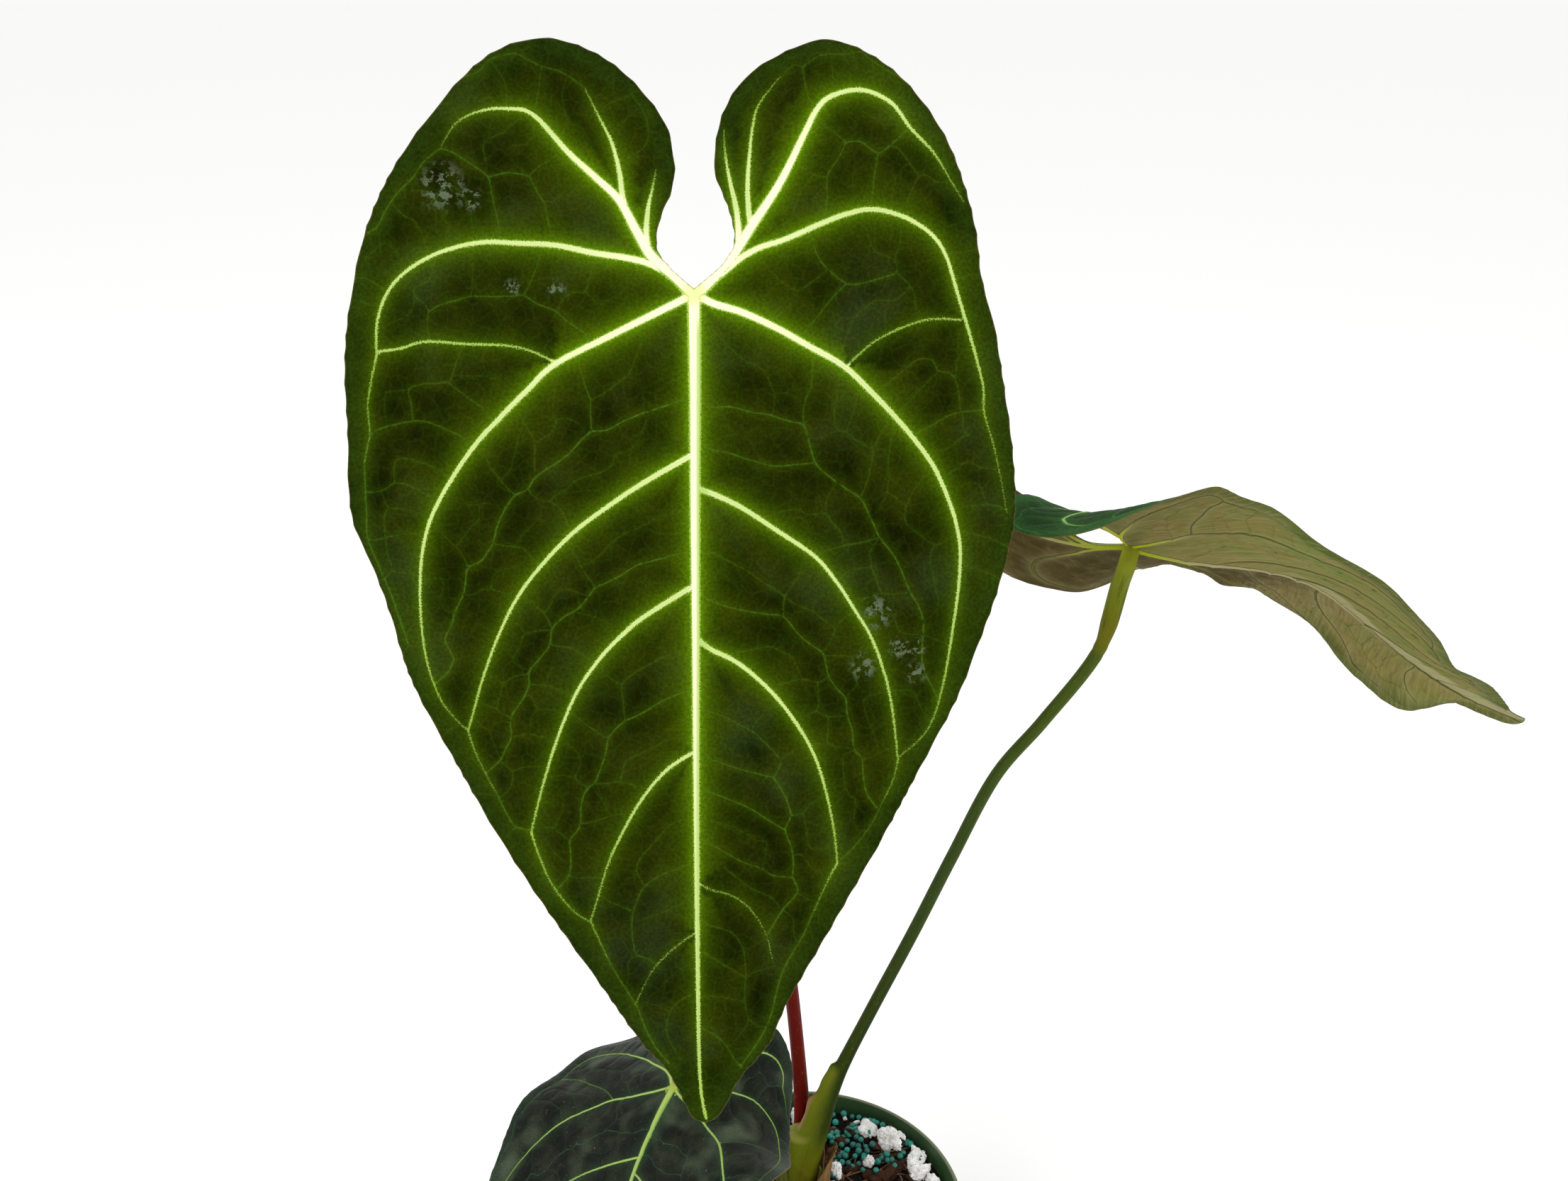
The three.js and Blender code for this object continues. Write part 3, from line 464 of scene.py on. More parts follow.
def under_lamina(look, tones, streak, green_band, brown_from, tip_brown, fold_shade, facet_highlight):
    """The lower face between its ribs, with painted shade near the stalk and a painted highlight by the
    midrib.
    """
    look.coat(look.step(look.noise(look.flat, 24, 3), 0.35, 0.68), tones["cool"])
    look.coat(look.step(look.edge, green_band, 4, 0.0, 0.75), tones["margin"])
    right_half = look.step(look.x, -8, 10, 0, 0.6)
    look.coat(look.times(right_half, look.step(look.y, -160, -90, tip_brown, 1)), "74633f")
    look.coat(look.step(look.y, brown_from, 25, 0, 0.6), "5a4e2c")
    look.coat(look.step(streak, 0.45, 0.7, 0.0, 0.32), "978b63")
    look.coat(look.step(streak, 0.5, 0.3, 0.0, 0.34), "51482e")
    if fold_shade:
        # Painted shade that darkens the right half near the stalk, in patches
        shade = look.times(look.step(look.x, 1, 7, 0, fold_shade), look.step(look.y, -115, -70))
        look.coat(look.times(shade, look.step(look.noise(look.flat, 9, 3), 0.35, 0.6, 0.65, 1)), "3e3516")
    if facet_highlight:
        # A painted highlight on a pale strip beside the midrib
        highlight_strip = look.times(look.step(look.x, -11, -7), look.step(look.x, 1.5, 0.5, 0, facet_highlight))
        look.coat(look.times(highlight_strip, look.step(look.y, -60, -105)), "a39d76")


def under_ribs(look, tones, crease_shadow):
    """The veins and ribs of the lower face, a painted highlight beside the ribs, painted shadow on their
    borders, and its rim.
    """
    look.coat(look.times(look.step(look.vein, 0.4, 0.05), look.times(look.strength, 0.75)), tones["net"])
    rib = look.mix(look.step(look.width, 0.7, 1.2), tones["rib"], tones["thick_rib"])
    rib = look.mix(look.step(look.vector_math("LENGTH", look.flat, out=1), 48, 6), rib, tones["hub"])
    # A pale band of painted highlight beside the ribs
    look.coat(look.times(look.fade(look.rib, 2.0), 0.4), "958a62")
    look.coat(look.times(look.step(look.rib, 0.12, -0.15), look.step(look.width, 0.1, 0.5, 0.4, 1)), rib)
    if crease_shadow:
        # Painted shadow along the borders of the ribs
        look.coat(look.step(look.math("ABSOLUTE", look.rib), 0.3, 0.05, 0, crease_shadow), "3c3e1c")
    look.coat(look.step(look.edge, 0.5, 0.15, 0.0, 0.6), "4d4a26")


def under_look(name, tones, green_band=22, brown_from=-15, tip_brown=1.0, fold_shade=0.0, facet_highlight=0.0, crease_shadow=0.0,
               shine=0.1):
    """The matte lower face of a blade. green_band is the width of its green margin. Brown begins at
    brown_from towards the lobes, and the right half keeps the share tip_brown of its own at the tip.
    fold_shade is how dark the painted shade on the right half near the stalk is, facet_highlight how pale
    the painted highlight on the strip beside the midrib is, and crease_shadow how dark the painted shadow on
    the borders of the ribs is."""
    look = BladeLook(name, tones["lamina"], 0.6, Specular_IOR_Level=shine, Sheen_Weight=0.2 * shine,
                     Sheen_Roughness=0.5)
    streak = silk_streaks(look)
    under_lamina(look, tones, streak, green_band, brown_from, tip_brown, fold_shade, facet_highlight)
    under_ribs(look, tones, crease_shadow)
    height = look.plus(look.step(look.vein, 1.0, 0.0, 0.0, 0.5), look.times(streak, 1.2))
    return look.finish(height, 0.5, 0.7)


# The leaf pattern

PATTERN_MIDRIB = 228
NOTCH = (0, 1.4)
TIP = (3.1, -230.4)
LEFT_EDGE = [
    NOTCH, (-6.1, 6.7), (-10.2, 12.4), (-9.7, 20.4), (-6.2, 30), (-5.9, 38.3), (-8.8, 49.1), (-18.4, 60.8),
    (-29, 67.7), (-41.6, 70.3), (-54.2, 66.3), (-64.5, 57.7), (-74.3, 44.6), (-83.8, 28.8), (-90.3, 15.6),
    (-93.5, 4.3), (-95.8, -12.7), (-97.3, -33.1), (-96.4, -59.9), (-92.1, -73.1), (-85.9, -90.3),
    (-80.2, -106.6), (-71.5, -123.7), (-57.9, -146.1), (-43.4, -168.3), (-27.3, -190.2), (-15.8, -206.3),
    (-6.7, -217), (-1, -228.3), TIP,
]
RIGHT_EDGE = [
    NOTCH, (8, 8.5), (11.1, 14.5), (9.8, 22.9), (6, 33.1), (5.6, 40.2), (7.9, 51.5), (14.3, 61.5),
    (25.6, 68.3), (36.9, 70.9), (47.8, 66.7), (58.4, 57.8), (68.6, 42.9), (74.4, 29.5), (77.7, 16.9),
    (79.2, 3.8), (83.1, -9.5), (86.3, -24.9), (89.1, -45.6), (90.2, -62.4), (86.6, -78.5), (80.5, -95.5),
    (73.9, -112.4), (64.1, -129.9), (50.2, -155), (39.6, -172.9), (26.1, -195.8), (20.7, -207.9),
    (12.8, -217.4), (6.9, -227.9), TIP,
]
# Each rib with its half width at the foot and at the end
MIDRIB = ([(0, 0), (0.3, -28.4), (0.3, -59.7), (0.5, -93.9), (0.6, -133.3), (0.9, -181.9), (1.4, -216.5),
           (3.1, -229)], 2.05, 0.36)
LEFT_RIBS = [
    ([(0, 0), (-5.2, 4.9), (-11.6, 10.2), (-15.9, 17.2), (-21, 26), (-27.5, 32), (-35, 38.6), (-44.7, 48.6),
      (-51.4, 50), (-58.5, 49.1), (-65.2, 45.6), (-69.4, 38.6)], 2.5, 0.1),
    ([(-8.4, 6.4), (-12.6, 8.4), (-18.4, 9.8), (-28, 11.2), (-38.3, 13.2), (-48.3, 13.6), (-56.3, 13.9),
      (-64, 12.8), (-72.2, 10.1), (-79, 6.1), (-84, 0.8), (-86.9, -7), (-87.5, -15.9)], 1.35, 0.42),
    ([(0, 0), (-5.3, -2.8), (-21.1, -10.7), (-38, -19.2), (-45.9, -26.2), (-53.9, -33.9), (-61.8, -42.3),
      (-70.4, -55.3), (-75, -65.1), (-77.4, -76.5), (-77.5, -89.4), (-75.1, -103.4), (-70.8, -113.9),
      (-64.1, -121.3)], 1.5, 0.2),
    ([(0.1, -44.3), (-13.3, -51.8), (-23.2, -58.2), (-33, -65.3), (-41.1, -73.1), (-48.6, -82.2),
      (-53.9, -91.9), (-58.8, -104.3), (-62.7, -117.1), (-64.1, -121.3)], 1.05, 0.36),
    ([(0.5, -80.2), (-13.4, -88.8), (-19.6, -93.8), (-26.6, -101.1), (-33.2, -110.8), (-38.7, -123.9),
      (-42.7, -136.9), (-45.8, -149.3)], 0.95, 0.34),
    ([(0.6, -126), (-6.9, -130.8), (-12.9, -137.4), (-18.1, -145.4), (-23.7, -156.8), (-26.7, -166.4),
      (-29.1, -173.9)], 0.65, 0.26),
    ([(0.9, -176.1), (-5.8, -181), (-11.8, -187.5), (-16.6, -197.1)], 0.25, 0.15),
]
RIGHT_RIBS = [
    ([(0, 0), (3.9, 3.2), (10.7, 10.9), (16.2, 19.2), (23.9, 30.9), (30.9, 44.6), (34.3, 51), (38.5, 54.5),
      (46.6, 55.6), (54.6, 51.6), (60, 44.2), (66.4, 37.2), (71, 30), (74.4, 24.8)], 2.4, 0.12),
    ([(5.5, 3.8), (9.3, 7), (13.6, 10.4), (18.6, 13), (25.3, 15.1), (35.5, 19.5), (42.3, 21.9), (48.6, 23.1),
      (54.8, 22), (60.2, 19.8), (65.7, 15.8), (69.4, 10.1), (73, -1.5), (76.9, -13), (80.3, -24.6),
      (80.7, -32.2), (84, -43.6), (87.9, -59.9)], 1.3, 0.1),
    ([(0, 0), (5.5, -2.8), (13.1, -5.1), (22.3, -9.2), (31.7, -14.3), (41.2, -19.6), (48.7, -26.4),
      (55.7, -33.6), (62.1, -41), (68.1, -49.9), (73.6, -63.7), (74.7, -75.5), (72.3, -94.5), (69.4, -110.6),
      (65.2, -121.3), (57.3, -128.4)], 1.5, 0.15),
    ([(0.3, -53.6), (5.5, -55.4), (13.2, -59), (22.4, -64.9), (33.4, -72.3), (39.7, -79.6), (44.7, -87.2),
      (49.1, -94.3), (52.5, -102.9), (55.1, -113.2), (56.9, -128.6)], 1.0, 0.32),
    ([(0.5, -94.7), (4.6, -98), (12, -101.8), (20.3, -108.8), (27.2, -117.1), (32.7, -126.3), (36.1, -135.8),
      (38.7, -147.7), (39.8, -157.8)], 0.9, 0.32),
    ([(0.9, -162.5), (4.5, -164.5), (10.6, -166.4), (15.5, -170.2), (19.6, -176.6),
      (21.5, -184)], 0.25, 0.15),
]
# Branches as bright as ribs
BRANCHES = [
    ([(-18.4, 21.6), (-20, 27.4), (-20.8, 33.6), (-23, 41.7), (-26, 47.7), (-30.7, 56.8)], 1.25, 0.15),
    ([(-11.2, 9.2), (-12.9, 13.2), (-13.3, 17.5), (-12.8, 24), (-11.6, 30), (-10.7, 35)], 1.7, 0.1),
    ([(15.8, 18), (15.2, 22), (14.8, 29.4), (15.2, 36.8), (16.2, 46.4), (18, 53.2),
      (23.9, 60.9)], 1.1, 0.12),
    ([(9.8, 8.8), (12, 13), (12.3, 17), (11.6, 24), (9.8, 32), (8.5, 40), (8.2, 46.4)], 1.7, 0.1),
    ([(-87.1, -16), (-80.8, -15.1), (-74, -13.3), (-62.4, -13.9), (-52.1, -14.3), (-45.2, -15.7),
      (-38.4, -18.8)], 0.4, 0.4),
    ([(73.6, -7), (67.9, -6.7), (62.4, -7.4), (54.8, -10.2), (49.3, -13.3), (44.2, -17.6),
      (42.1, -19.8)], 0.3, 0.35),
    ([(-87.2, -16), (-88.8, -21), (-90, -25.5), (-91.2, -30.5), (-91, -38), (-91.8, -42),
      (-92.5, -46)], 0.36, 0.1),
    ([(-64.1, -121), (-62.5, -126), (-59.5, -132.5), (-56, -138.5)], 0.26, 0.1),
    ([(-45.8, -149.3), (-44.5, -153.5), (-42.8, -158), (-40.5, -163), (-37, -168), (-33, -172),
      (-29.3, -174)], 0.32, 0.2),
    ([(-29.1, -173.9), (-27, -178.5), (-24.5, -184)], 0.24, 0.1),
    ([(57.2, -128.6), (55.5, -135), (53, -140)], 0.24, 0.1),
    ([(39.8, -157.8), (38, -161), (35.5, -166), (33, -171.5)], 0.32, 0.1),
]
# Veins between the ribs: how plain each is, then its line
VEINS = [
    (0.8, [(-69.4, 38), (-66, 37), (-62, 34.5), (-58, 32), (-56.5, 31), (-52, 32), (-48, 32),
      (-45.5, 31.5)]),
    (0.5, [(-45.5, 31.5), (-43, 34), (-38, 37.5)]),
    (0.65, [(-45.5, 31.5), (-43, 27), (-41, 24), (-40, 19), (-38.7, 14)]),
    (0.7, [(-56.5, 31), (-55.5, 26), (-54, 20), (-53, 14.5)]),
    (0.85, [(-69.4, 38), (-74, 34), (-77, 29.5), (-81.5, 25), (-84.5, 21), (-86.5, 17.5), (-90.5, 15.5)]),
    (0.4, [(-77, 26.5), (-74, 26.5), (-71, 24.5), (-69.5, 22), (-68, 19), (-67, 13.5)]),
    (0.4, [(-71, 24.5), (-67, 28), (-64.5, 27), (-62, 24), (-61, 20), (-60.5, 14.5)]),
    (0.45, [(-82, 23), (-79, 20), (-77, 19.5), (-75, 16.5), (-73, 12)]),
    (0.4, [(-90, 10), (-87, 12.5), (-85.5, 13.7), (-82, 11.5), (-80, 8)]),
    (0.4, [(-57.5, 35), (-58, 39.5), (-55, 42), (-52.5, 43), (-51, 45), (-48, 48)]),
    (0.3, [(-50, 39.5), (-46.5, 40), (-45, 42), (-43, 44.5)]),
    (0.35, [(-41, 25), (-39, 24.8), (-36.5, 26.5), (-34.5, 27), (-32, 29)]),
    (0.45, [(-52.5, 49.5), (-52.5, 55), (-53, 58), (-56, 62)]),
    (0.5, [(-44.5, 50), (-43.5, 56), (-42.8, 62)]),
    (0.6, [(-64, 58), (-60, 59.5), (-57, 63), (-53, 64.5), (-50, 65.3), (-47, 64), (-43, 62.5), (-37, 61),
      (-30.7, 56.8)]),
    (0.4, [(-64.5, 46.3), (-67, 50), (-70, 50.5)]),
    (0.35, [(-37, 43), (-35.5, 47), (-36.5, 51), (-37, 55), (-35.5, 60)]),
    (0.5, [(-20.8, 36.5), (-17.5, 38.5), (-14, 41.5), (-13, 46), (-14, 51), (-18, 56)]),
    (0.35, [(-24.5, 44.5), (-20, 48), (-16, 52)]),
    (0.3, [(-27.5, 51), (-24, 53), (-21.5, 54.5), (-19.5, 55)]),
    (0.75, [(-73, -5.5), (-70, -3.5), (-65, -2), (-61, -1), (-55, -1), (-50, -1), (-47, -0.7), (-43, -3),
      (-38, -5), (-35, -7.5), (-32, -9.5), (-27, -13.5)]),
    (0.55, [(-47, -0.7), (-45, 3), (-43, 8), (-42, 12.5)]),
    (0.45, [(-37.5, -4.5), (-36, -1.5), (-33, 0.3), (-30, 0.3), (-28.5, 5), (-28, 10)]),
    (0.35, [(-30, 0.3), (-28, -1.5), (-26, -3), (-23, -1.5), (-20, 0), (-17, 3)]),
    (0.5, [(-73, -5.5), (-74, -3), (-76.5, -1), (-76.8, 1.5), (-73.5, 3), (-72, 6), (-72.5, 9.5)]),
    (0.5, [(-73, -5.5), (-73.2, -9), (-73, -13)]),
    (0.35, [(-76.8, -1), (-77.5, -5), (-80, -7), (-83, -8), (-86.5, -10)]),
    (0.35, [(-60.7, 13), (-61, 5), (-60.8, -1)]),
    (0.5, [(-85.5, 1), (-90, 4), (-93.4, 4)]),
    (0.45, [(-86.5, -4), (-92, -2.5), (-95, -1.5)]),
    (0.95, [(-87, -16), (-88.8, -21), (-90, -25.5), (-91.2, -30.5), (-91, -38), (-91.8, -42), (-92.5, -46),
      (-92.3, -53), (-92, -60), (-92, -67), (-89.5, -75), (-86, -84), (-81, -97)]),
    (0.75, [(-91, -37.8), (-86, -36), (-82, -35), (-78.5, -34.5), (-74, -35), (-69, -37), (-61, -41)]),
    (0.6, [(-78.5, -34.5), (-78.3, -30), (-79, -26), (-75, -24.5), (-68, -24), (-66.5, -22), (-64, -14.5)]),
    (0.55, [(-68, -24), (-63, -28), (-58, -31.5), (-55.5, -34.5)]),
    (0.35, [(-67, -22.5), (-62, -22.3), (-57, -22.5), (-52, -25), (-48, -28)]),
    (0.35, [(-79, -26), (-84.5, -26.5), (-86, -28), (-86, -35.5)]),
    (0.5, [(-83.8, -52), (-83.8, -46.5), (-81.5, -45), (-77, -46), (-73, -47.5), (-68.5, -50)]),
    (0.55, [(-92, -54.5), (-87.5, -54), (-83.8, -52), (-79, -53), (-72, -57)]),
    (0.4, [(-87.5, -54), (-85.5, -58.5), (-81, -59), (-75, -61)]),
    (0.45, [(-85.5, -58.5), (-87, -61.5), (-87, -67), (-86.7, -72), (-86, -76.5), (-89.5, -79)]),
    (0.55, [(-92, -68), (-87, -66.8), (-82, -66), (-75.5, -66)]),
    (0.4, [(-86, -76.5), (-82, -77), (-77.5, -78)]),
    (0.4, [(-84, -90), (-81, -86.5), (-77.5, -86)]),
    (1.0, [(-1, -28.5), (-8, -31), (-15, -33.5), (-20, -35.5), (-24, -37.5), (-28, -38), (-31, -40.5),
      (-34.5, -44), (-38, -46.5), (-42, -49), (-44.5, -51), (-46.5, -54), (-50, -55.5), (-52.5, -59),
      (-55, -64), (-56.3, -68.5), (-58, -71), (-60, -73.5), (-63.5, -75.5), (-64.3, -79), (-65, -83),
      (-67.5, -88), (-68.5, -92), (-70.4, -96), (-68, -100.5), (-68.5, -103), (-70, -105.5),
      (-73.5, -108.3)]),
    (0.65, [(-28, -38), (-28.5, -33), (-28.5, -29.5), (-30, -25), (-31.5, -20), (-31.5, -15.5)]),
    (0.4, [(-28.5, -29.5), (-24, -27), (-20, -24), (-17, -21), (-12, -6)]),
    (0.5, [(-50, -55.5), (-53, -52.5), (-54.5, -50), (-57, -47), (-59, -40)]),
    (0.35, [(-53.5, -51.5), (-51, -48), (-50, -44.5), (-47.5, -35), (-46, -26.5)]),
    (0.5, [(-44, -48.8), (-44.3, -41), (-46, -37.5), (-48.5, -33), (-50, -30)]),
    (0.35, [(-44.3, -41), (-41.5, -39.5), (-39.5, -38), (-38, -35), (-35, -34.5), (-31.5, -36),
      (-29.5, -38.7)]),
    (0.3, [(-38, -35), (-39, -32), (-38, -20)]),
    (0.5, [(-56.3, -68.5), (-53, -69.3), (-50, -69.7), (-47.5, -70.5), (-43, -75)]),
    (0.35, [(-50, -69.6), (-48.5, -67), (-46, -64.5), (-43, -62)]),
    (0.45, [(-34, -65.5), (-37, -59.5), (-40, -57.5), (-43, -56.8), (-46.5, -54)]),
    (0.4, [(-40, -57.5), (-38.5, -55.5), (-35, -53.5), (-33, -51.5), (-29, -50), (-25, -49), (-22.5, -47),
      (-22, -44.5), (-18.5, -43.5), (-15, -40), (-12, -32.5)]),
    (0.35, [(-63, -58), (-61, -58), (-57.5, -57.5), (-53, -58.5)]),
    (0.45, [(-63.5, -75.5), (-65, -72), (-67, -69.5), (-71.5, -65)]),
    (0.35, [(-67, -69.5), (-64.5, -67), (-62, -64), (-60, -62), (-60, -58)]),
    (0.4, [(-65, -83), (-62, -83), (-60.5, -81.8), (-57, -81.5), (-50, -84)]),
    (0.35, [(-57, -81.5), (-56.5, -78), (-54, -76), (-50, -76)]),
    (0.35, [(-77.3, -79), (-71.5, -78.5), (-71, -82), (-72, -85), (-69.5, -88), (-67.5, -88)]),
    (0.95, [(0, -70.5), (-6, -72.3), (-12, -73.8), (-16, -75), (-20, -77.5), (-25, -80), (-27.5, -81),
      (-29.5, -83.5), (-32.5, -87), (-36, -89), (-39.5, -92.5), (-40.2, -97), (-43, -100.5), (-46.3, -104.3),
      (-46.3, -107.8), (-48, -112), (-51.3, -117.2), (-51.4, -122.5), (-53.2, -126), (-54.8, -129.4),
      (-58.7, -133)]),
    (0.45, [(-27.5, -81), (-30, -77.5), (-31.5, -75), (-33, -72), (-36, -68)]),
    (0.4, [(-31.5, -75), (-27, -73), (-23, -69), (-20, -66.5), (-15, -64.5), (-10, -62), (-2, -59)]),
    (0.5, [(-39.5, -92.5), (-42, -88), (-44, -86.5), (-48.5, -82.5)]),
    (0.4, [(-42, -88), (-40, -85.5), (-39, -83), (-36, -81.5), (-32.5, -82.5), (-29.5, -83.5)]),
    (0.35, [(-33.5, -87.7), (-30, -88.5), (-24, -90.5), (-19.5, -93)]),
    (0.4, [(-39.8, -93), (-43, -93), (-47.5, -94), (-49, -97.5), (-51, -101.5), (-46.5, -104)]),
    (0.3, [(-47.5, -94), (-50, -91), (-53, -90)]),
    (0.5, [(-40.2, -97), (-37, -97.5), (-34, -98), (-30, -100.5), (-27.5, -102)]),
    (0.5, [(-46.2, -108), (-41, -108.2), (-36.5, -110), (-33.5, -110)]),
    (0.3, [(-41, -108), (-40.5, -104), (-37, -103), (-33, -104)]),
    (0.45, [(-46.2, -105), (-50, -105.7), (-53.7, -107.7), (-55, -107), (-58.5, -105)]),
    (0.45, [(-53.7, -107.7), (-54.5, -111), (-55.5, -115), (-53, -116.7), (-51.3, -117)]),
    (0.3, [(-55.5, -115), (-58, -114), (-61, -113)]),
    (0.45, [(-47, -110.5), (-45, -112.5), (-43.8, -115), (-40, -115), (-35.5, -116.5)]),
    (0.35, [(-43.8, -115), (-45.5, -117), (-46, -120), (-46.5, -121.8)]),
    (0.5, [(-51.4, -122.5), (-46.5, -121.8), (-42, -122.5), (-38.5, -123.5)]),
    (0.35, [(-62.5, -117.5), (-60, -120), (-57.5, -121), (-57, -123.5), (-55, -128)]),
    (0.3, [(-57.5, -121), (-55, -118.5), (-51.5, -118.5)]),
    (0.5, [(-54.8, -129.5), (-52.5, -131.5), (-51, -133), (-52, -137.5), (-55.5, -140)]),
    (0.4, [(-51, -133), (-48, -131.5), (-40.5, -131)]),
    (0.9, [(0, -109), (-5, -110.5), (-10, -113), (-15, -116), (-19, -118), (-22, -120.5), (-24, -123),
      (-24.5, -127), (-26, -131), (-28, -135.5), (-30, -137), (-31.5, -141), (-31.8, -146.5), (-33, -149),
      (-34.8, -151.3), (-34.7, -155), (-34.8, -160.5), (-37, -163.7), (-39.3, -166)]),
    (0.5, [(-19, -118), (-19.7, -112), (-20, -108), (-17, -105), (-13, -102.5), (-8, -100), (0, -97.5)]),
    (0.4, [(-20, -108), (-23, -106.5), (-27, -103)]),
    (0.5, [(-24, -123), (-28, -120.5), (-35.5, -115)]),
    (0.5, [(-28, -135.5), (-24, -135.5), (-20.5, -134.8), (-13, -137)]),
    (0.45, [(-20.5, -134.8), (-19.5, -131), (-19, -129), (-15, -127), (-11, -125), (-6, -122.5),
      (0, -120.5)]),
    (0.45, [(-30, -136.5), (-33.3, -134), (-32, -131), (-32, -127.5), (-36, -124)]),
    (0.35, [(-33.3, -134), (-37, -133.5), (-41, -134)]),
    (0.5, [(-31.8, -146.5), (-28, -146), (-23.5, -144.5), (-20, -143.7), (-17, -143.5)]),
    (0.35, [(-23.5, -144.5), (-25, -141), (-27, -138.5), (-28.5, -136)]),
    (0.45, [(-34.8, -151.3), (-37.5, -149.5), (-39, -148), (-43, -148), (-45.3, -148)]),
    (0.35, [(-39, -148), (-38, -145), (-36.3, -142), (-39, -140.5), (-43.5, -141)]),
    (0.4, [(-34.8, -160.8), (-32.5, -161.8), (-25.5, -161.5)]),
    (0.3, [(-34.7, -158), (-38.5, -155.5), (-42, -151)]),
    (0.6, [(0.8, -156), (-5, -159), (-10, -161), (-13.8, -163.7), (-15.5, -167), (-16.8, -171),
      (-17.3, -176), (-17, -180), (-16.2, -183), (-13, -184), (-10.5, -186)]),
    (0.5, [(-13.8, -163.7), (-16, -160), (-16.2, -159), (-15, -156), (-12, -152.5), (-9, -149), (-5.5, -146),
      (0.6, -144)]),
    (0.4, [(-16.2, -183), (-18.5, -185), (-18.3, -188), (-19, -193)]),
    (0.5, [(-16.8, -170.8), (-20.5, -169.5), (-25, -167.5), (-27, -166)]),
    (0.4, [(0.8, -166), (-6, -169.5), (-10, -171.5), (-14, -173), (-17, -174)]),
    (0.5, [(0.9, -193.5), (-3, -195), (-5.5, -197), (-7, -199), (-7.7, -203), (-7.5, -206), (-6, -209),
      (-4, -212)]),
    (0.35, [(-7, -199), (-10, -197), (-14.5, -196)]),
    (0.3, [(0.9, -184.5), (-3, -186), (-6, -188.5), (-8, -191), (-9, -197.5)]),
    (0.95, [(-64.3, -120.5), (-62.5, -126), (-59.5, -132.5), (-56, -138.5), (-52.5, -145), (-50.5, -148),
      (-46.2, -148.8)]),
    (0.95, [(-45.8, -149.3), (-44.5, -153.5), (-42.8, -158), (-40.5, -163), (-37, -168), (-33, -172),
      (-29.3, -174)]),
    (0.9, [(-29.1, -173.9), (-27, -178.5), (-24.5, -184), (-21.5, -189), (-18, -194.5), (-16.3, -197),
      (-15, -200.5), (-13, -205), (-10.5, -209.5), (-7, -213.5)]),
    (0.4, [(-50.5, -148), (-53, -151)]),
    (0.4, [(-66.5, -119.5), (-71, -122)]),
    (0.85, [(60, 44.8), (55, 40.5), (51, 38), (46, 41.3), (42, 41)]),
    (0.5, [(42, 41), (38, 45), (34.5, 47.5)]),
    (0.7, [(51, 38), (50, 33), (49.3, 28), (48.7, 23)]),
    (0.7, [(42, 41), (40, 36.5), (37, 32), (36.7, 27), (36, 20)]),
    (0.5, [(37, 32), (33, 33), (29.5, 35.5), (27, 38)]),
    (0.35, [(33, 33), (29, 27), (27, 22), (24, 18), (22, 15)]),
    (0.3, [(44, 22.5), (44, 27), (44, 31), (45.5, 34), (50, 35)]),
    (0.5, [(54, 40), (57, 38.5), (59, 36), (62, 32), (64, 32), (67, 30), (71, 30)]),
    (0.45, [(62, 32), (60, 28), (58, 22)]),
    (0.35, [(54.5, 22.5), (55, 27), (56, 32), (59.3, 35.5)]),
    (0.4, [(39, 54.5), (38.8, 58), (38.5, 66)]),
    (0.55, [(34, 51), (32, 54), (31, 58), (30.5, 63), (33, 65), (36, 66.5), (42, 66.3), (47, 66.5),
      (49, 64.5), (53, 61.5), (57.5, 58.5)]),
    (0.5, [(30.5, 63), (28, 64), (24, 61)]),
    (0.35, [(57.5, 49), (53, 46.5), (50, 47.5), (46.5, 50), (44.5, 55)]),
    (0.75, [(32.5, 17), (34, 10.5), (37, 6.5), (42, 2.7), (47, 3), (52, 4.3), (56, 5.3)]),
    (0.45, [(56, 5.3), (59, 2.5), (60.5, 0), (61, -3), (62, -7)]),
    (0.65, [(42, 2.7), (38, -1.5), (34, -6), (29, -12.5)]),
    (0.4, [(56, 5.3), (55.2, 9), (51, 11), (49, 13), (47.5, 17), (46.5, 22)]),
    (0.4, [(55.2, 9), (57, 15), (56.8, 21)]),
    (0.4, [(37, 6.5), (33, 3.5), (29, 1), (26, 2), (23, 4), (19, 9), (17, 14)]),
    (0.4, [(59.5, 2), (57, -0.5), (55, -2), (50, -2), (46, -5), (43, -9), (40, -18)]),
    (0.4, [(71.5, 3.5), (76, 5), (79, 4.5)]),
    (0.4, [(69.3, 10.5), (74, 11), (77.8, 12)]),
    (0.75, [(80.5, -31.5), (74, -32), (70, -33.5), (66, -36), (60.5, -39)]),
    (0.55, [(74, -32), (73.5, -27), (72.5, -23), (70.5, -21), (67.5, -20.8), (66, -18), (62, -17.5),
      (59, -19.5), (55, -23), (50, -27.5)]),
    (0.4, [(67.5, -20.8), (64, -24.5), (57, -32)]),
    (0.35, [(72.5, -22.5), (73, -16), (73, -8)]),
    (0.4, [(74.5, -33), (75, -38), (77, -38.5), (74, -39.5), (71, -42), (64.5, -45)]),
    (0.45, [(84.5, -48), (80, -47.5), (76.5, -46), (73, -48), (68.5, -51)]),
    (0.5, [(87.5, -59), (84, -58), (80, -57.7), (72, -58.5)]),
    (0.35, [(82, -58), (80, -53), (77, -51.5), (71, -54)]),
    (0.5, [(88.5, -69.5), (84, -67.5), (80, -66.5), (74, -65)]),
    (0.45, [(86, -79), (82, -77), (78, -75.5), (74.7, -75)]),
    (0.95, [(1, -31), (5, -31.5), (10.5, -31.5), (16, -33), (21, -33.5), (26, -35), (30, -36), (31.5, -40),
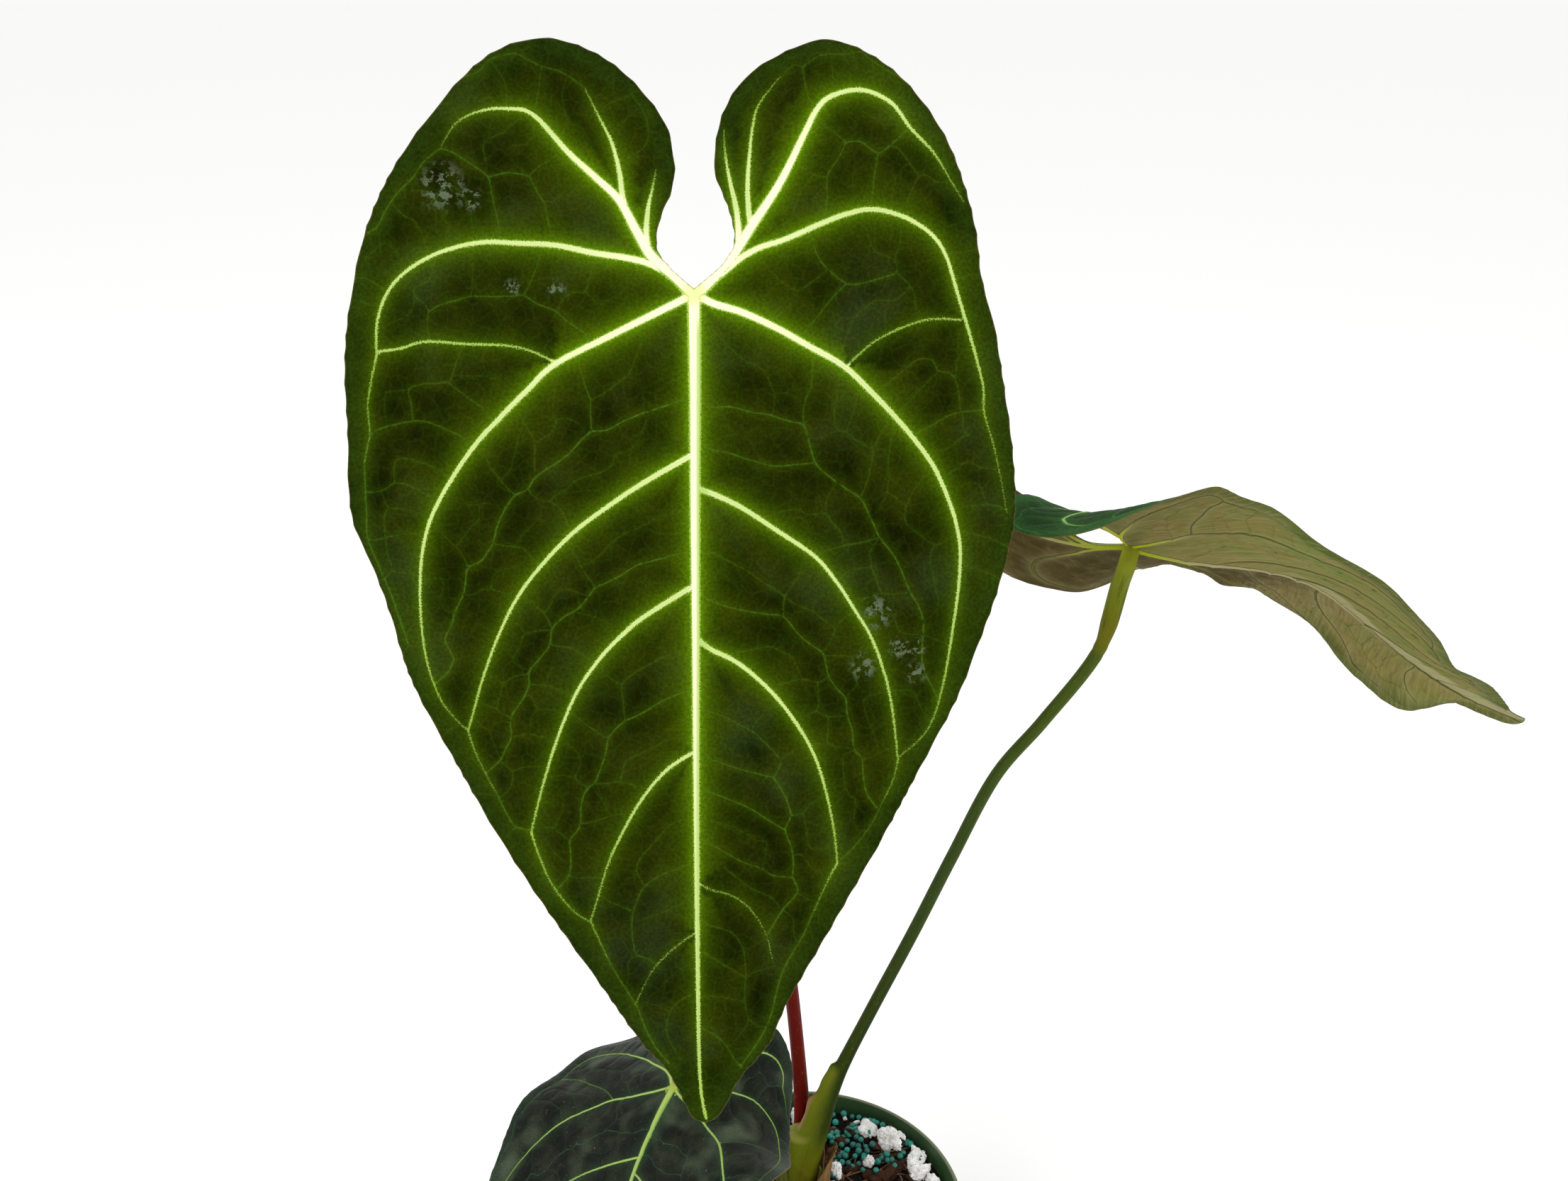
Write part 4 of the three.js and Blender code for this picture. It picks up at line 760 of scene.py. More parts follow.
      (33.5, -46.4), (37, -50), (41, -53), (46, -56), (48, -59.5), (50, -64), (51.5, -67), (55, -71),
      (57.5, -75), (60.3, -82.3), (62.5, -86), (64, -90), (64, -94.5), (63.8, -101), (65, -105.5),
      (67, -109), (68.5, -112)]),
    (0.8, [(1, -42), (4, -43), (10, -44), (16, -46), (22, -47.5), (29, -47), (33.5, -46.4)]),
    (0.6, [(30, -36), (30.5, -30), (32.3, -25), (32.5, -18), (32.5, -14)]),
    (0.4, [(5, -10), (9, -14), (14, -18.5), (19, -21), (21, -24.5), (22.3, -27.5), (26, -27.5),
      (30.4, -30)]),
    (0.3, [(22.3, -27.5), (22, -33.5)]),
    (0.5, [(46, -56), (48, -51), (49, -46), (49.8, -42.5), (51.5, -39), (55, -33)]),
    (0.45, [(49.8, -42.5), (45, -40.5), (42, -38), (39.8, -37.8), (38.5, -33), (39.5, -28), (41, -20)]),
    (0.35, [(42, -38), (44, -32), (46.5, -25)]),
    (0.3, [(39.8, -37.8), (35, -39.5), (31.3, -39.5)]),
    (0.4, [(56, -34.5), (53.8, -45), (54.2, -50), (53.5, -54), (56, -56), (59, -58), (60.5, -55),
      (66, -47)]),
    (0.4, [(59, -58), (58.5, -62), (60.5, -64.5), (64, -67), (67, -69), (70, -68), (74, -66)]),
    (0.35, [(67, -69), (66, -73), (67, -78), (67.5, -82), (68.5, -84.5), (67.5, -88), (64, -91)]),
    (0.3, [(53.5, -54), (52, -58), (49, -61.5)]),
    (0.6, [(51.5, -67), (46, -68.5), (41, -69.5), (33, -72)]),
    (0.4, [(41, -69.5), (41, -66), (38, -62.5), (36.5, -60.5), (31, -60.5), (28, -59), (18, -62)]),
    (0.35, [(36.5, -60.5), (36.5, -57), (38, -54), (40, -52.3)]),
    (0.35, [(51.3, -67.2), (49, -71), (49.3, -75), (44, -76), (40, -79)]),
    (0.5, [(49.3, -75), (50.5, -78), (52.5, -82.5), (57, -83), (60.4, -82.5)]),
    (0.4, [(52.5, -82.5), (48, -84), (43.5, -85)]),
    (0.5, [(0.4, -70), (5, -71.5), (10, -74), (15, -76.5), (19, -79.5), (25, -83.5), (29, -86), (33, -87.5),
      (36, -90), (39.5, -92.5)]),
    (0.9, [(0.5, -83), (3, -84), (8, -86), (14, -87.5), (20, -88.5), (24.5, -89), (28, -93), (31.5, -96),
      (35.5, -99), (36.5, -102), (37.5, -106), (40, -109.5), (42.2, -112), (42.5, -116.5), (44, -121),
      (44.5, -126), (46.7, -129), (47, -133), (48, -138.5), (51, -142.5)]),
    (0.5, [(25, -83.5), (24.3, -89)]),
    (0.4, [(25, -83.5), (27, -80.5), (29, -78), (31, -70.5)]),
    (0.45, [(35.5, -99), (38, -96), (39.5, -92.5), (42, -89.5), (46, -87)]),
    (0.5, [(9, -99.5), (12, -99), (17, -98), (21, -97.3), (24.5, -99), (27, -100), (29, -104),
      (29.7, -106.5)]),
    (0.5, [(19, -108), (23, -108), (29.7, -106.5), (34, -107.3), (37.5, -106)]),
    (0.45, [(34, -107.3), (34.5, -111), (33.8, -115.5), (27, -117.5)]),
    (0.5, [(33.8, -115.5), (37, -117), (42.5, -116.7)]),
    (0.45, [(37, -117), (37.2, -121), (37.3, -124.5), (44.4, -126)]),
    (0.35, [(37.3, -124.5), (32, -124.5)]),
    (0.45, [(35.7, -100), (41, -100), (43.5, -100.5), (44.5, -105), (45.5, -108), (42.2, -111.5)]),
    (0.35, [(43.5, -100.5), (46, -99), (50, -97)]),
    (0.35, [(54, -110), (48, -112), (47.5, -115), (49.5, -121), (51.5, -127.5)]),
    (0.4, [(46.7, -129), (50, -128.5), (53, -126.5), (56.5, -126)]),
    (0.4, [(44, -126.5), (41.5, -128), (41.5, -133), (42.5, -137.5), (45, -140.5), (44.5, -145),
      (45.5, -149), (47, -150.5)]),
    (0.45, [(47.5, -90), (55, -88.5), (57, -93), (60, -94), (64, -94.4), (71.5, -97)]),
    (0.4, [(55, -110), (61, -110), (63, -114), (65.8, -118.5)]),
    (0.35, [(64.8, -105), (60.5, -107), (61, -110)]),
    (0.8, [(57, -129.2), (55.5, -135), (53, -140), (50, -146), (46.5, -151), (43.5, -154.5),
      (39.9, -157.5)]),
    (0.6, [(0.6, -114), (5, -115.5), (9, -117), (15.5, -120.5), (19, -123.5), (22.5, -127), (24, -129),
      (23, -132), (22, -133.5)]),
    (0.9, [(22, -133.5), (24.5, -137.5), (26, -141), (26.7, -144.5), (25.3, -148.3), (27, -153.5),
      (27.5, -158), (27.2, -161.5), (28.5, -165.7), (25, -170), (20.5, -177)]),
    (0.8, [(0.7, -127.3), (3, -128), (8, -129.5), (14, -131.5), (22, -133.5)]),
    (0.85, [(0.7, -136.2), (8, -139), (14, -141.5), (19, -144.5), (25.3, -148.3)]),
    (0.7, [(0.8, -150), (8, -154), (14, -157), (18.5, -158.7), (22, -161), (27.2, -161.5)]),
    (0.4, [(0.7, -144), (5, -145.5), (10, -147), (14, -149), (17, -151), (20, -151.5), (19.5, -155),
      (18.5, -158.7)]),
    (0.35, [(15.5, -120.5), (18, -117), (23, -113)]),
    (0.35, [(24, -129), (26.5, -127), (32, -124.5)]),
    (0.45, [(26.7, -144.5), (30, -143.5), (32.5, -141), (37, -138.5)]),
    (0.4, [(30, -143.5), (31, -148), (31.5, -152), (33, -154), (38.8, -153)]),
    (0.4, [(27.4, -155.5), (30, -155.5), (33.5, -160), (38.5, -158.5)]),
    (0.4, [(28.5, -165.7), (32, -168), (34.5, -168.5)]),
    (0.45, [(8, -158), (13, -162), (17, -165), (21, -167), (24, -170), (27.5, -173), (27.5, -177),
      (28.5, -180)]),
    (0.9, [(39.8, -157.8), (38, -161), (35.5, -166), (33, -171.5), (30.5, -177), (27.5, -182),
      (24.5, -187.5), (22.7, -193), (21.5, -199), (19, -205), (16, -210), (12.8, -213.8)]),
    (0.5, [(1, -173.5), (8, -175.5), (11, -177), (13.3, -181), (14, -185), (14.2, -189), (14, -193),
      (14.2, -198), (14.8, -201), (13.5, -204), (10, -208.5)]),
    (0.5, [(1.2, -181), (6, -184), (10, -186.5), (14.2, -189), (17, -187.5), (22, -186)]),
    (0.45, [(1.3, -194.5), (5, -194.3), (9, -195), (14, -196)]),
    (0.4, [(14.8, -201), (18, -203), (20, -203)]),
    (0.6, [(1.4, -202.5), (6, -205.5), (9, -208.5), (11, -212), (13, -214.5)]),
]

SIDE_STRETCH = 90
ROW_PITCH = 0.866


def scalloped_outline():
    """The blade's edge, with shallow scallops where veins reach it."""
    left, right = spline(LEFT_EDGE, 1.0), spline(RIGHT_EDGE, 1.0)
    line = np.concatenate([left, right[::-1][1:-1]])
    outward = quarter_turn(np.roll(line, -1, 0) - np.roll(line, 1, 0))
    at = np.arange(len(line))
    wander = np.array([noise.noise(Vector((n * 0.05, 0.5, 2.0))) for n in at])
    depth = 0.32 * abs(np.sin(at * np.pi / 7.5 + 5 * wander)) - 0.25
    calm = smoothstep(0, 12, np.minimum(at, len(line) - at))
    return line + outward * (depth * calm)[:, None]


def inside(polygon, points):
    """Which points lie in a polygon."""
    x, y = points[:, 0][:, None], points[:, 1][:, None]
    x1, y1 = polygon.T
    x2, y2 = np.roll(polygon, -1, 0).T
    crosses = (y1 > y) != (y2 > y)
    at = (x2 - x1) * (y - y1) / np.where(y2 == y1, 1e-12, y2 - y1) + x1
    return (np.sum(crosses & (x < at), 1) % 2) == 1


def tapered(strokes, spacing):
    """Points along strokes of (line, foot width, end width), and the half width at each."""
    lines = [spline(line, spacing) for line, _, _ in strokes]
    widths = [foot + (end - foot) * np.linspace(0, 1, len(line)) ** 0.8
              for line, (_, foot, end) in zip(lines, strokes)]
    return lines, widths


def wandering(points, amount, size, seed):
    """Points shifted by smooth noise, so that lines wander."""
    moved = []
    for x, y in points:
        n = noise.noise_vector(Vector((x / size, y / size, seed)))
        moved.append((x + amount * n[0], y + amount * n[1]))
    return np.array(moved)


class VeinMap:
    """The ribs and veins of one leaf in the flat pattern. wander is how far its veins shift from the drawn
    ones, and slim and midrib scale the widths of its ribs."""

    def __init__(self, seed, wander, slim=1.0, midrib=1.0):
        self.random = random.Random(seed)
        self.outline = scalloped_outline()
        self.edge_tree = tree_of(evenly(np.concatenate([self.outline, self.outline[:1]]), 0.4))
        self.lay_ribs(slim, midrib)
        self.lay_veins(seed, wander)

    def lay_ribs(self, slim, midrib):
        """Sets the lines and widths of the ribs, and the tree that finds the nearest rib."""
        strokes = [(MIDRIB[0], MIDRIB[1] * midrib, MIDRIB[2])]
        strokes += [(line, 0.9 * foot * slim, 0.72 * end * slim)
                    for line, foot, end in [*LEFT_RIBS, *RIGHT_RIBS, *BRANCHES]]
        self.rib_lines, self.rib_widths = tapered(strokes, 1.5)
        dense, dense_widths = tapered(strokes, 0.25)
        self.rib_points, self.rib_point_widths = np.concatenate(dense), np.concatenate(dense_widths)
        # Thin ribs stand higher over the flat pattern, so that a wide rib is found from further away
        rise = np.sqrt(self.rib_point_widths.max() ** 2 - self.rib_point_widths ** 2)
        self.rib_tree = tree_of(np.column_stack([self.rib_points, rise]))

    def lay_veins(self, seed, wander):
        """Sets the lines of the veins, and the tree that finds the nearest vein and how plain it is."""
        self.veins, strengths, samples = [], [], []
        for strength, line in VEINS:
            smooth = wandering(spline(line, 1.3), wander, 9.0, seed)
            smooth = smooth[inside(self.outline, smooth)]
            if len(smooth) < 2:
                continue
            self.veins.append(smooth)
            points = evenly(smooth, 0.3)
            fade = 1 - 0.35 * np.linspace(0, 1, len(points)) ** 2 * (strength < 0.55)
            samples.append(points)
            strengths.append(strength * fade)
        self.vein_tree = tree_of(np.concatenate(samples))
        self.vein_strengths = np.concatenate(strengths)

    def measure(self, points):
        """For each point: the signed distance to a rib's border, that rib's half width, the distance to
        a vein, how plain that vein is, and the distance to the edge."""
        index, _ = nearest(self.rib_tree, points)
        far = np.linalg.norm(points - self.rib_points[index], axis=1)
        width = self.rib_point_widths[index]
        vein, branch = nearest(self.vein_tree, points)
        _, edge = nearest(self.edge_tree, points)
        return far - width, width, branch, self.vein_strengths[vein], edge

    def fixed_lines(self):
        """The points of the outline, ribs and veins, and the edges that join them."""
        points, edges = list(self.outline), neighbours(range(len(self.outline)))
        for line in [*self.rib_lines, *self.veins]:
            edges += [(len(points) + k, len(points) + k + 1) for k in range(len(line) - 1)]
            points += list(line)
        return points, edges

    def free_points(self, fixed, spacing):
        """Points beside the ribs and on a slightly uneven grid, clear of the edge and of the fixed points."""
        beside = []
        for line, width in zip(self.rib_lines, self.rib_widths):
            across = quarter_turn(np.gradient(line, axis=0))
            for share in (0.55, 1.0, 1.9):
                beside += [line + across * (sign * width * share)[:, None] for sign in (-1, 1)]
        (left, bottom), (right, top) = self.outline.min(0), self.outline.max(0)
        grid = [(x + n % 2 * spacing / 2 + self.random.uniform(-0.15, 0.15) * spacing, y)
                for n, y in enumerate(np.arange(bottom, top, spacing * ROW_PITCH))
                for x in np.arange(left, right, spacing)]
        free = np.concatenate([*beside, grid])
        free = free[inside(self.outline, free)]
        free = free[nearest(self.edge_tree, free)[1] > 0.35]
        return free[nearest(tree_of(fixed), free)[1] > 0.3]

    def triangles(self, points, edges):
        """The triangles between points that lie in the outline and keep the edges."""
        xy, tri = triangulate(points, edges, 1e-4)
        return xy, tri[inside(self.outline, xy[tri].mean(1))]

    def off_middles(self, xy, tri):
        """The middles of those sides that miss how far a rib or a vein is there."""
        sides = np.unique(np.sort(sides_of(tri), axis=1), axis=0)
        middle = xy[sides].mean(1)
        at, truth = self.measure(xy), self.measure(middle)
        wrong = np.zeros(len(sides), bool)
        for k, limit in ((0, 0.25), (2, 0.22)):
            guess = at[k][sides].mean(1)
            wrong |= (abs(guess - truth[k]) > limit) & (np.minimum(guess, truth[k]) < 0.9)
        return middle[wrong]

    def mesh(self, spacing, rounds):
        """Flat points and triangles that follow every line, finer beside the lines after each round."""
        points, edges = self.fixed_lines()
        points.extend(self.free_points(points, spacing))
        for _ in range(rounds):
            points.extend(self.off_middles(*self.triangles(points, edges)))
        xy, tri = self.triangles(points, edges)
        used, back = np.unique(tri[abs(areas(xy, tri)) > 1e-7], return_inverse=True)
        return xy[used], back.reshape(-1, 3)


# Leaves in space

# The main and young leaves as in the part's source. The side leaf's rises follow the photograph more closely.
MAIN_LEAF = {
    "midrib": 228, "heading": -90, "turn": 0, "stalk": (-33.1, -40, 497.1),
    "fall": [(-0.31, 54), (0, 61), (0.25, 65), (0.5, 66), (0.75, 67), (1, 70)],
    "left": [(-0.3, 10), (-0.15, 6), (0, 1), (0.15, -3), (0.35, -6), (0.6, -6), (0.85, -4), (1, 0)],
    "right": [(-0.3, 9), (-0.15, 5), (0, 0), (0.15, -4), (0.35, -7), (0.6, -6), (0.85, -3), (1, 0)],
    "wave": 1.5, "waves": 5, "phase": 0.6,
}
SIDE_LEAF = {
    "midrib": 160, "heading": -3, "turn": 4, "stalk": (105.7, 14, 397.7),
    "fall": [(-0.31, 55), (0, 18), (0.25, 6), (0.5, 39), (0.75, 34), (1, 19)],
    "left": [(-0.3, -12), (-0.15, 28), (0, 40), (0.15, 38), (0.35, 24), (0.6, 17), (0.85, 31), (1, 27)],
    "right": [(-0.3, -51), (-0.15, -49), (0, -43), (0.15, -25), (0.35, -29), (0.5, -26), (0.62, -27),
              (0.73, -42), (0.82, -56), (0.9, -30), (1, -56)],
    "wave": 0.6, "waves": 6, "phase": 2.1,
}
YOUNG_LEAF = {
    "midrib": 134, "heading": -121, "turn": 18, "stalk": (-47.3, -36.3, 211.3),
    "fall": [(-0.31, 21), (0, 26), (0.25, 43), (0.5, 46), (0.75, 49), (1, 52)],
    "left": [(-0.3, -41), (-0.15, -33), (0, -21), (0.15, -12), (0.35, -3), (0.6, 12), (0.85, 16), (1, 16)],
    "right": [(-0.3, -45), (-0.15, -45), (0, -27), (0.15, 10), (0.35, 20), (0.6, 18), (0.85, 16), (1, 15)],
    "wave": 1.6, "waves": 4.5, "phase": 4,
}


class LeafSurface:
    """The middle surface of a leaf: flat pattern x and y to a point in space, as in the part's source."""

    def __init__(self, leaf):
        self.leaf = leaf
        self.start, end, count = -0.36, 1.04, 140
        self.step = (end - self.start) / count
        middles = self.start + (np.arange(count) + 0.5) * self.step
        moves = self.direction(middles) * self.step * leaf["midrib"]
        self.line = np.concatenate([np.zeros((1, 3)), np.cumsum(moves, 0)])
        self.shift = np.array(leaf["stalk"]) - self.on(np.array([0.0]))[0]

    def direction(self, q):
        """The direction in which the midrib runs at a share q of its length."""
        fall = np.radians(smooth_value(self.leaf["fall"], q))
        heading = np.radians(self.leaf["heading"] + self.leaf["turn"] * q)
        return np.stack([np.cos(fall) * np.cos(heading), np.cos(fall) * np.sin(heading), -np.sin(fall)], 1)

    def on(self, q):
        """The place on the midrib at a share q of its length."""
        at = np.clip((q - self.start) / self.step, 0, len(self.line) - 1 - 1e-6)
        i = np.floor(at).astype(int)
        t = (at - i)[:, None]
        return self.line[i] * (1 - t) + self.line[i + 1] * t

    def __call__(self, x, y):
        leaf = self.leaf
        q = -y / PATTERN_MIDRIB
        size = leaf["midrib"] / PATTERN_MIDRIB
        along = self.direction(q)
        side = unit(np.cross(np.array([0, 0, 1.0]), along))
        lift = np.cross(along, side)
        rise = np.radians(np.where(x < 0, smooth_value(leaf["left"], q), smooth_value(leaf["right"], q)))
        ripple = leaf["wave"] * (abs(x) / SIDE_STRETCH) ** 2 * np.sin(
            2 * np.pi * leaf["waves"] * q + leaf["phase"] + np.sign(x))
        return (self.on(q) + self.shift + side * (np.cos(rise) * x * size)[:, None]
                + lift * (np.sin(rise) * abs(x) * size + ripple)[:, None])

    def normal(self, x, y, reach=1.5):
        """The upward direction across the surface."""
        across = self(x + reach, y) - self(x - reach, y)
        along = self(x, y + reach) - self(x, y - reach)
        return unit(np.cross(across, along))


# How far a panel swells from its rib and over what reach, then how deep a vein sinks and over what reach
PANEL_RISE, PANEL_REACH, VEIN_DEPTH, VEIN_REACH = 0.9, 9, 0.45, 2.2
RIB_ABOVE, RIB_BELOW, GROOVE_BESIDE, VEIN_BELOW = 0.62, 1.1, 0.12, 0.14
FULL_RIB = 1.6
HALF_THICK_AT_EDGE, HALF_THICK_GAIN = 0.16, 0.26


def blade_heights(quilt, rib, width, vein, strength, edge):
    """How far the upper and the lower face lie from the blade's middle surface."""
    swell = quilt * PANEL_RISE * (1 - np.exp(-np.maximum(rib, 0) / PANEL_REACH)) * smoothstep(0, 14, edge)
    swell -= quilt * VEIN_DEPTH * strength * np.exp(-vein / VEIN_REACH) * smoothstep(0, 5, edge)
    across = np.clip(1 + rib / width, 0, 6)
    ridge = peak(across, 0, 0.95) * np.clip(width / FULL_RIB, 0.1, 1)
    groove = peak(across, 1.7, 0.5) * np.clip(width / FULL_RIB, 0, 1)
    half = HALF_THICK_AT_EDGE + HALF_THICK_GAIN * smoothstep(0, 2.5, edge)
    above = swell + half + RIB_ABOVE * ridge - GROOVE_BESIDE * groove
    below = swell - half - RIB_BELOW * ridge * smoothstep(0, 3, edge)
    return above, below - VEIN_BELOW * strength * peak(vein, 0, 0.5)


def blade_faces(tri, count):
    """The upper triangles, the lower ones turned over, and the rim between the two faces."""
    sides = {}
    for a, b in sides_of(tri).tolist():
        if not sides.pop((b, a), None):
            sides[(a, b)] = True
    rim = [(a, a + count, b + count, b) for a, b in sides]
    return [*tri.tolist(), *(tri[:, ::-1] + count).tolist(), *rim]


def build_blade(name, leaf, veins, looks, slot, node, spacing=2.2, rounds=2, quilt=1.0):
    """A thin closed blade: upper face, lower face with raised ribs, and a rim. spacing is how far apart
    the points of its mesh lie, made finer beside the veins in that number of rounds. quilt scales how far
    the panels swell."""
    xy, tri = veins.mesh(spacing, rounds)
    x, y = xy.T
    count = len(xy)
    rib, width, vein, strength, edge = veins.measure(xy)
    surface = LeafSurface(leaf)
    middle, normal = surface(x, y), surface.normal(x, y)
    above, below = blade_heights(quilt, rib, width, vein, strength, edge)
    points = np.concatenate([middle + normal * above[:, None], middle + normal * below[:, None]])
    thing = new_mesh(name, points, blade_faces(tri, count), looks, slot, node)
    flat = np.stack([x, y, np.zeros(count)], 1)
    marks = dict(flat=flat, rib=rib, rib_width=width, vein=vein, vein_strength=strength, margin=edge)
    point_attributes(thing, **{key: np.concatenate([rows, rows]) for key, rows in marks.items()})
    material = np.zeros(len(thing.data.polygons), np.int32)
    material[len(tri):2 * len(tri)] = 1
    thing.data.polygons.foreach_set("material_index", material)
    spread_uv(thing, xy, len(tri))


def spread_uv(thing, xy, triangles):
    """Upper and lower face side by side in one map, with the rim as a thin band round the upper."""
    count = len(xy)
    (left, bottom), (right, top) = xy.min(0), xy.max(0)
    span = max(2 * (right - left) + 12, top - bottom + 8)
    up = (xy - (left, bottom) + 4) / span
    down = up + ((right - left + 6) / span, 0)
    loops = np.zeros(len(thing.data.loops), np.int32)
    thing.data.loops.foreach_get("vertex_index", loops)
    uv = np.where((loops < count)[:, None], up[loops % count], down[loops % count])
    outward = unit(up - up.mean(0)) * (0.9 / span)
    below_rim = (np.arange(len(loops)) >= 2 * 3 * triangles) & (loops >= count)
    uv[below_rim] = (up + outward)[loops[below_rim] % count]
    layer = thing.data.uv_layers.new(name="OFBake")
    layer.data.foreach_set("uv", uv.astype(np.float32).ravel())


# The leaves

# Each scar as x, y and size in the flat pattern
MAIN_SCARS = [(-69, 28, 8), (-61, 25, 4), (-50, 1.5, 3), (-38, 1, 3.5), (51, -88, 6), (57, -98, 4),
              (62, -98, 4), (47, -103, 5), (62, -105, 4)]
main_upper = upper_look(
    "main_upper", dict(dark="090c01", mid="1f2402", painted_sheen="2a3826", margin="1f3007", halo="445802",
                       glow="527806", rib_edge="8cab42", rib_core="bac982", cream="e4e4bc", vein="3d6219",
                       hub="c6cc7c"),
    halo_share=0.84, vein_share=0.75, painted_sheen_share=0.24, roughness=0.6, shine=0.004, scars=MAIN_SCARS)
young_upper = upper_look(
    "young_upper", dict(dark="080a06", mid="22261a", painted_sheen="48523f", margin="1d2c20", halo="182b20",
                        glow="2c4a20", rib_edge="6a8c3c", rib_core="98b060", cream="9cb05c", vein="3f5c3c",
                        hub="94a83c"),
    halo_share=0.5, vein_share=0.6, painted_sheen_share=0.9, roughness=0.5, sheen=0.05, shine=0.09, specks=0.5)
side_upper = upper_look(
    "side_upper", dict(dark="183012", mid="214317", painted_sheen="343f34", margin="305c2c", halo="28541a",
                       glow="3e7a2c", rib_edge="6c9a4c", rib_core="8fb46c", cream="9cbc78", vein="4c8f40",
                       hub="a0b060"),
    halo_share=0.55, vein_share=0.8, painted_sheen_share=0.28, roughness=0.55, sheen=0.01, shine=0.02)
side_under = under_look(
    "side_under", dict(lamina="7c743e", cool="6c7638", margin="3f5420", rib="5a5a2c", thick_rib="a09970",
                       hub="9aa420", net="46482a"),
    green_band=15, brown_from=-60, tip_brown=0.3, fold_shade=0.9, facet_highlight=0.7, crease_shadow=0.75, shine=0.01)
under = under_look(
    "blade_under", dict(lamina="766b42", cool="6a6e3c", margin="5f7038", rib="64633a", thick_rib="64633a",
                        hub="8f9c28", net="4a4a2e"))

build_blade("main_leaf_blade_fine", MAIN_LEAF, VeinMap(seed=3, wander=0.35), [main_upper, under],
            "velvet_leaf", "main_leaf_blade", spacing=1.7, rounds=3)
build_blade("side_leaf_blade_fine", SIDE_LEAF, VeinMap(seed=21, wander=2.2), [side_upper, side_under],
            "leaf_underside", "side_leaf_blade", quilt=1.1)
build_blade("young_leaf_blade_fine", YOUNG_LEAF, VeinMap(seed=34, wander=2.6, slim=0.72, midrib=0.9),
            [young_upper, under], "young_leaf", "young_leaf_blade")

# Stalks

MAIN_STALK = {
    "route": [(-1, 18.5, 119), (-1.1, 17.8, 150), (-3.4, 15.8, 188), (-7.5, 10.5, 235), (-14, 2, 290),
              (-22, -9, 355), (-29, -21.5, 425), (-32.6, -31, 470)],
    "width": [(0, 4.4), (0.08, 3.2), (0.2, 2.7), (0.9, 2.6), (0.95, 3.1), (1, 3)],
}
SIDE_STALK = {
    "route": [(-1.2, 9, 119), (-0.7, 9, 131.6), (4, 9.5, 149.6), (13.1, 10.2, 177), (25.4, 11, 207.7),
              (39.8, 11.5, 242.7), (52.6, 12, 275.4), (67.3, 13, 310.2), (81.9, 13, 331.2), (98.8, 14, 357.4),
              (102.6, 14, 372), (104.9, 14, 387.3)],
    "width": [(0, 6), (0.04, 6.6), (0.1, 5.6), (0.16, 3.6), (0.21, 2.7), (0.3, 2.4), (0.86, 2.3), (0.89, 3),
              (0.97, 3), (1, 2.8)],
}
YOUNG_STALK = {
    "route": [(-8, 8, 119), (-11, 4, 140), (-20, -6, 165), (-33, -20, 190), (-43, -31, 203)],
    "width": [(0, 3.4), (0.15, 2.5), (0.85, 2.1), (0.92, 2.5), (1, 2.4)],
}
SEAT_ON_BLADE = -2.0
APPROACH = 9
# How far the stalk's end stays under the blade's middle surface
END_CLEARANCE = 0.2


def directions_across(line):
    """Two directions across a line at each point, without twist. The first one starts toward -x."""
    along = unit(np.gradient(line, axis=0))
    facing = np.array([-1.0, 0, 0])
    across = [unit(facing - along[0] * (along[0] @ facing))]
    for t in along[1:]:
        across.append(unit(across[-1] - t * (across[-1] @ t)))
    return np.array(across), np.cross(along, across)


def tube(line, radius, sides, shape=None, gather=0.0):
    """A closed tube round a line. shape gives extra radius from share and angle, and gather draws the
    lengthwise rows towards angle 0. Returns points, faces and what a look reads: each point's share of the
    length, its angle, and its place in a straightened tube."""
    across, beside = (np.repeat(v, sides, 0) for v in directions_across(line))
    along = lengths(line)
    share = np.repeat(along / along[-1], sides)
    turn = np.arange(sides) * 2 * np.pi / sides
    angle = np.tile(turn - gather * np.sin(turn), len(line))
    out = np.repeat(np.asarray(radius, float), sides)
    if shape:
        out = out + shape(share, angle)
    u, v = out * np.cos(angle), out * np.sin(angle)
    points = np.repeat(line, sides, 0) + across * u[:, None] + beside * v[:, None]
    points = np.concatenate([points, line[:1], line[-1:]])
    rings = [range(k * sides, (k + 1) * sides) for k in range(len(line))]
    faces = [face for first, second in zip(rings, rings[1:]) for face in band(first, second)]
    faces += fan(len(points) - 2, rings[0][::-1]) + fan(len(points) - 1, rings[-1])
    straight = np.concatenate([np.stack([u, v, share * along[-1]], 1), [[0, 0, 0]], [[0, 0, along[-1]]]])
    marks = dict(share=np.append(share, [0, 1]), around=np.append(angle, [0, 0]), straight=straight)
    return points, faces, marks


def stalk_piece(name, stalk, leaf, look, slot, node, sides=28, steps=150, shape=None, gather=0.0):
    """A stalk along its route and up to the seat on its blade, where the bend is evened out."""
    surface = LeafSurface(leaf)
    x, y = np.array([0.0]), np.array([SEAT_ON_BLADE])
    end, normal = surface(x, y)[0], surface.normal(x, y)[0]
    line = route_line([*stalk["route"], end - APPROACH * normal, end - END_CLEARANCE * normal], steps)
    share = np.linspace(0, 1, steps + 1)
    late = (0.5 * smoothstep(0.86, 0.93, share) * smoothstep(1, 0.985, share))[1:-1, None]
    for _ in range(int((steps / 40) ** 2) + 4):
        line[1:-1] += late * ((line[:-2] + line[2:]) / 2 - line[1:-1])
    points, faces, marks = tube(line, smooth_value(stalk["width"], share), sides, shape, gather)
    point_attributes(new_mesh(name, points, faces, [look], slot, node), **marks)


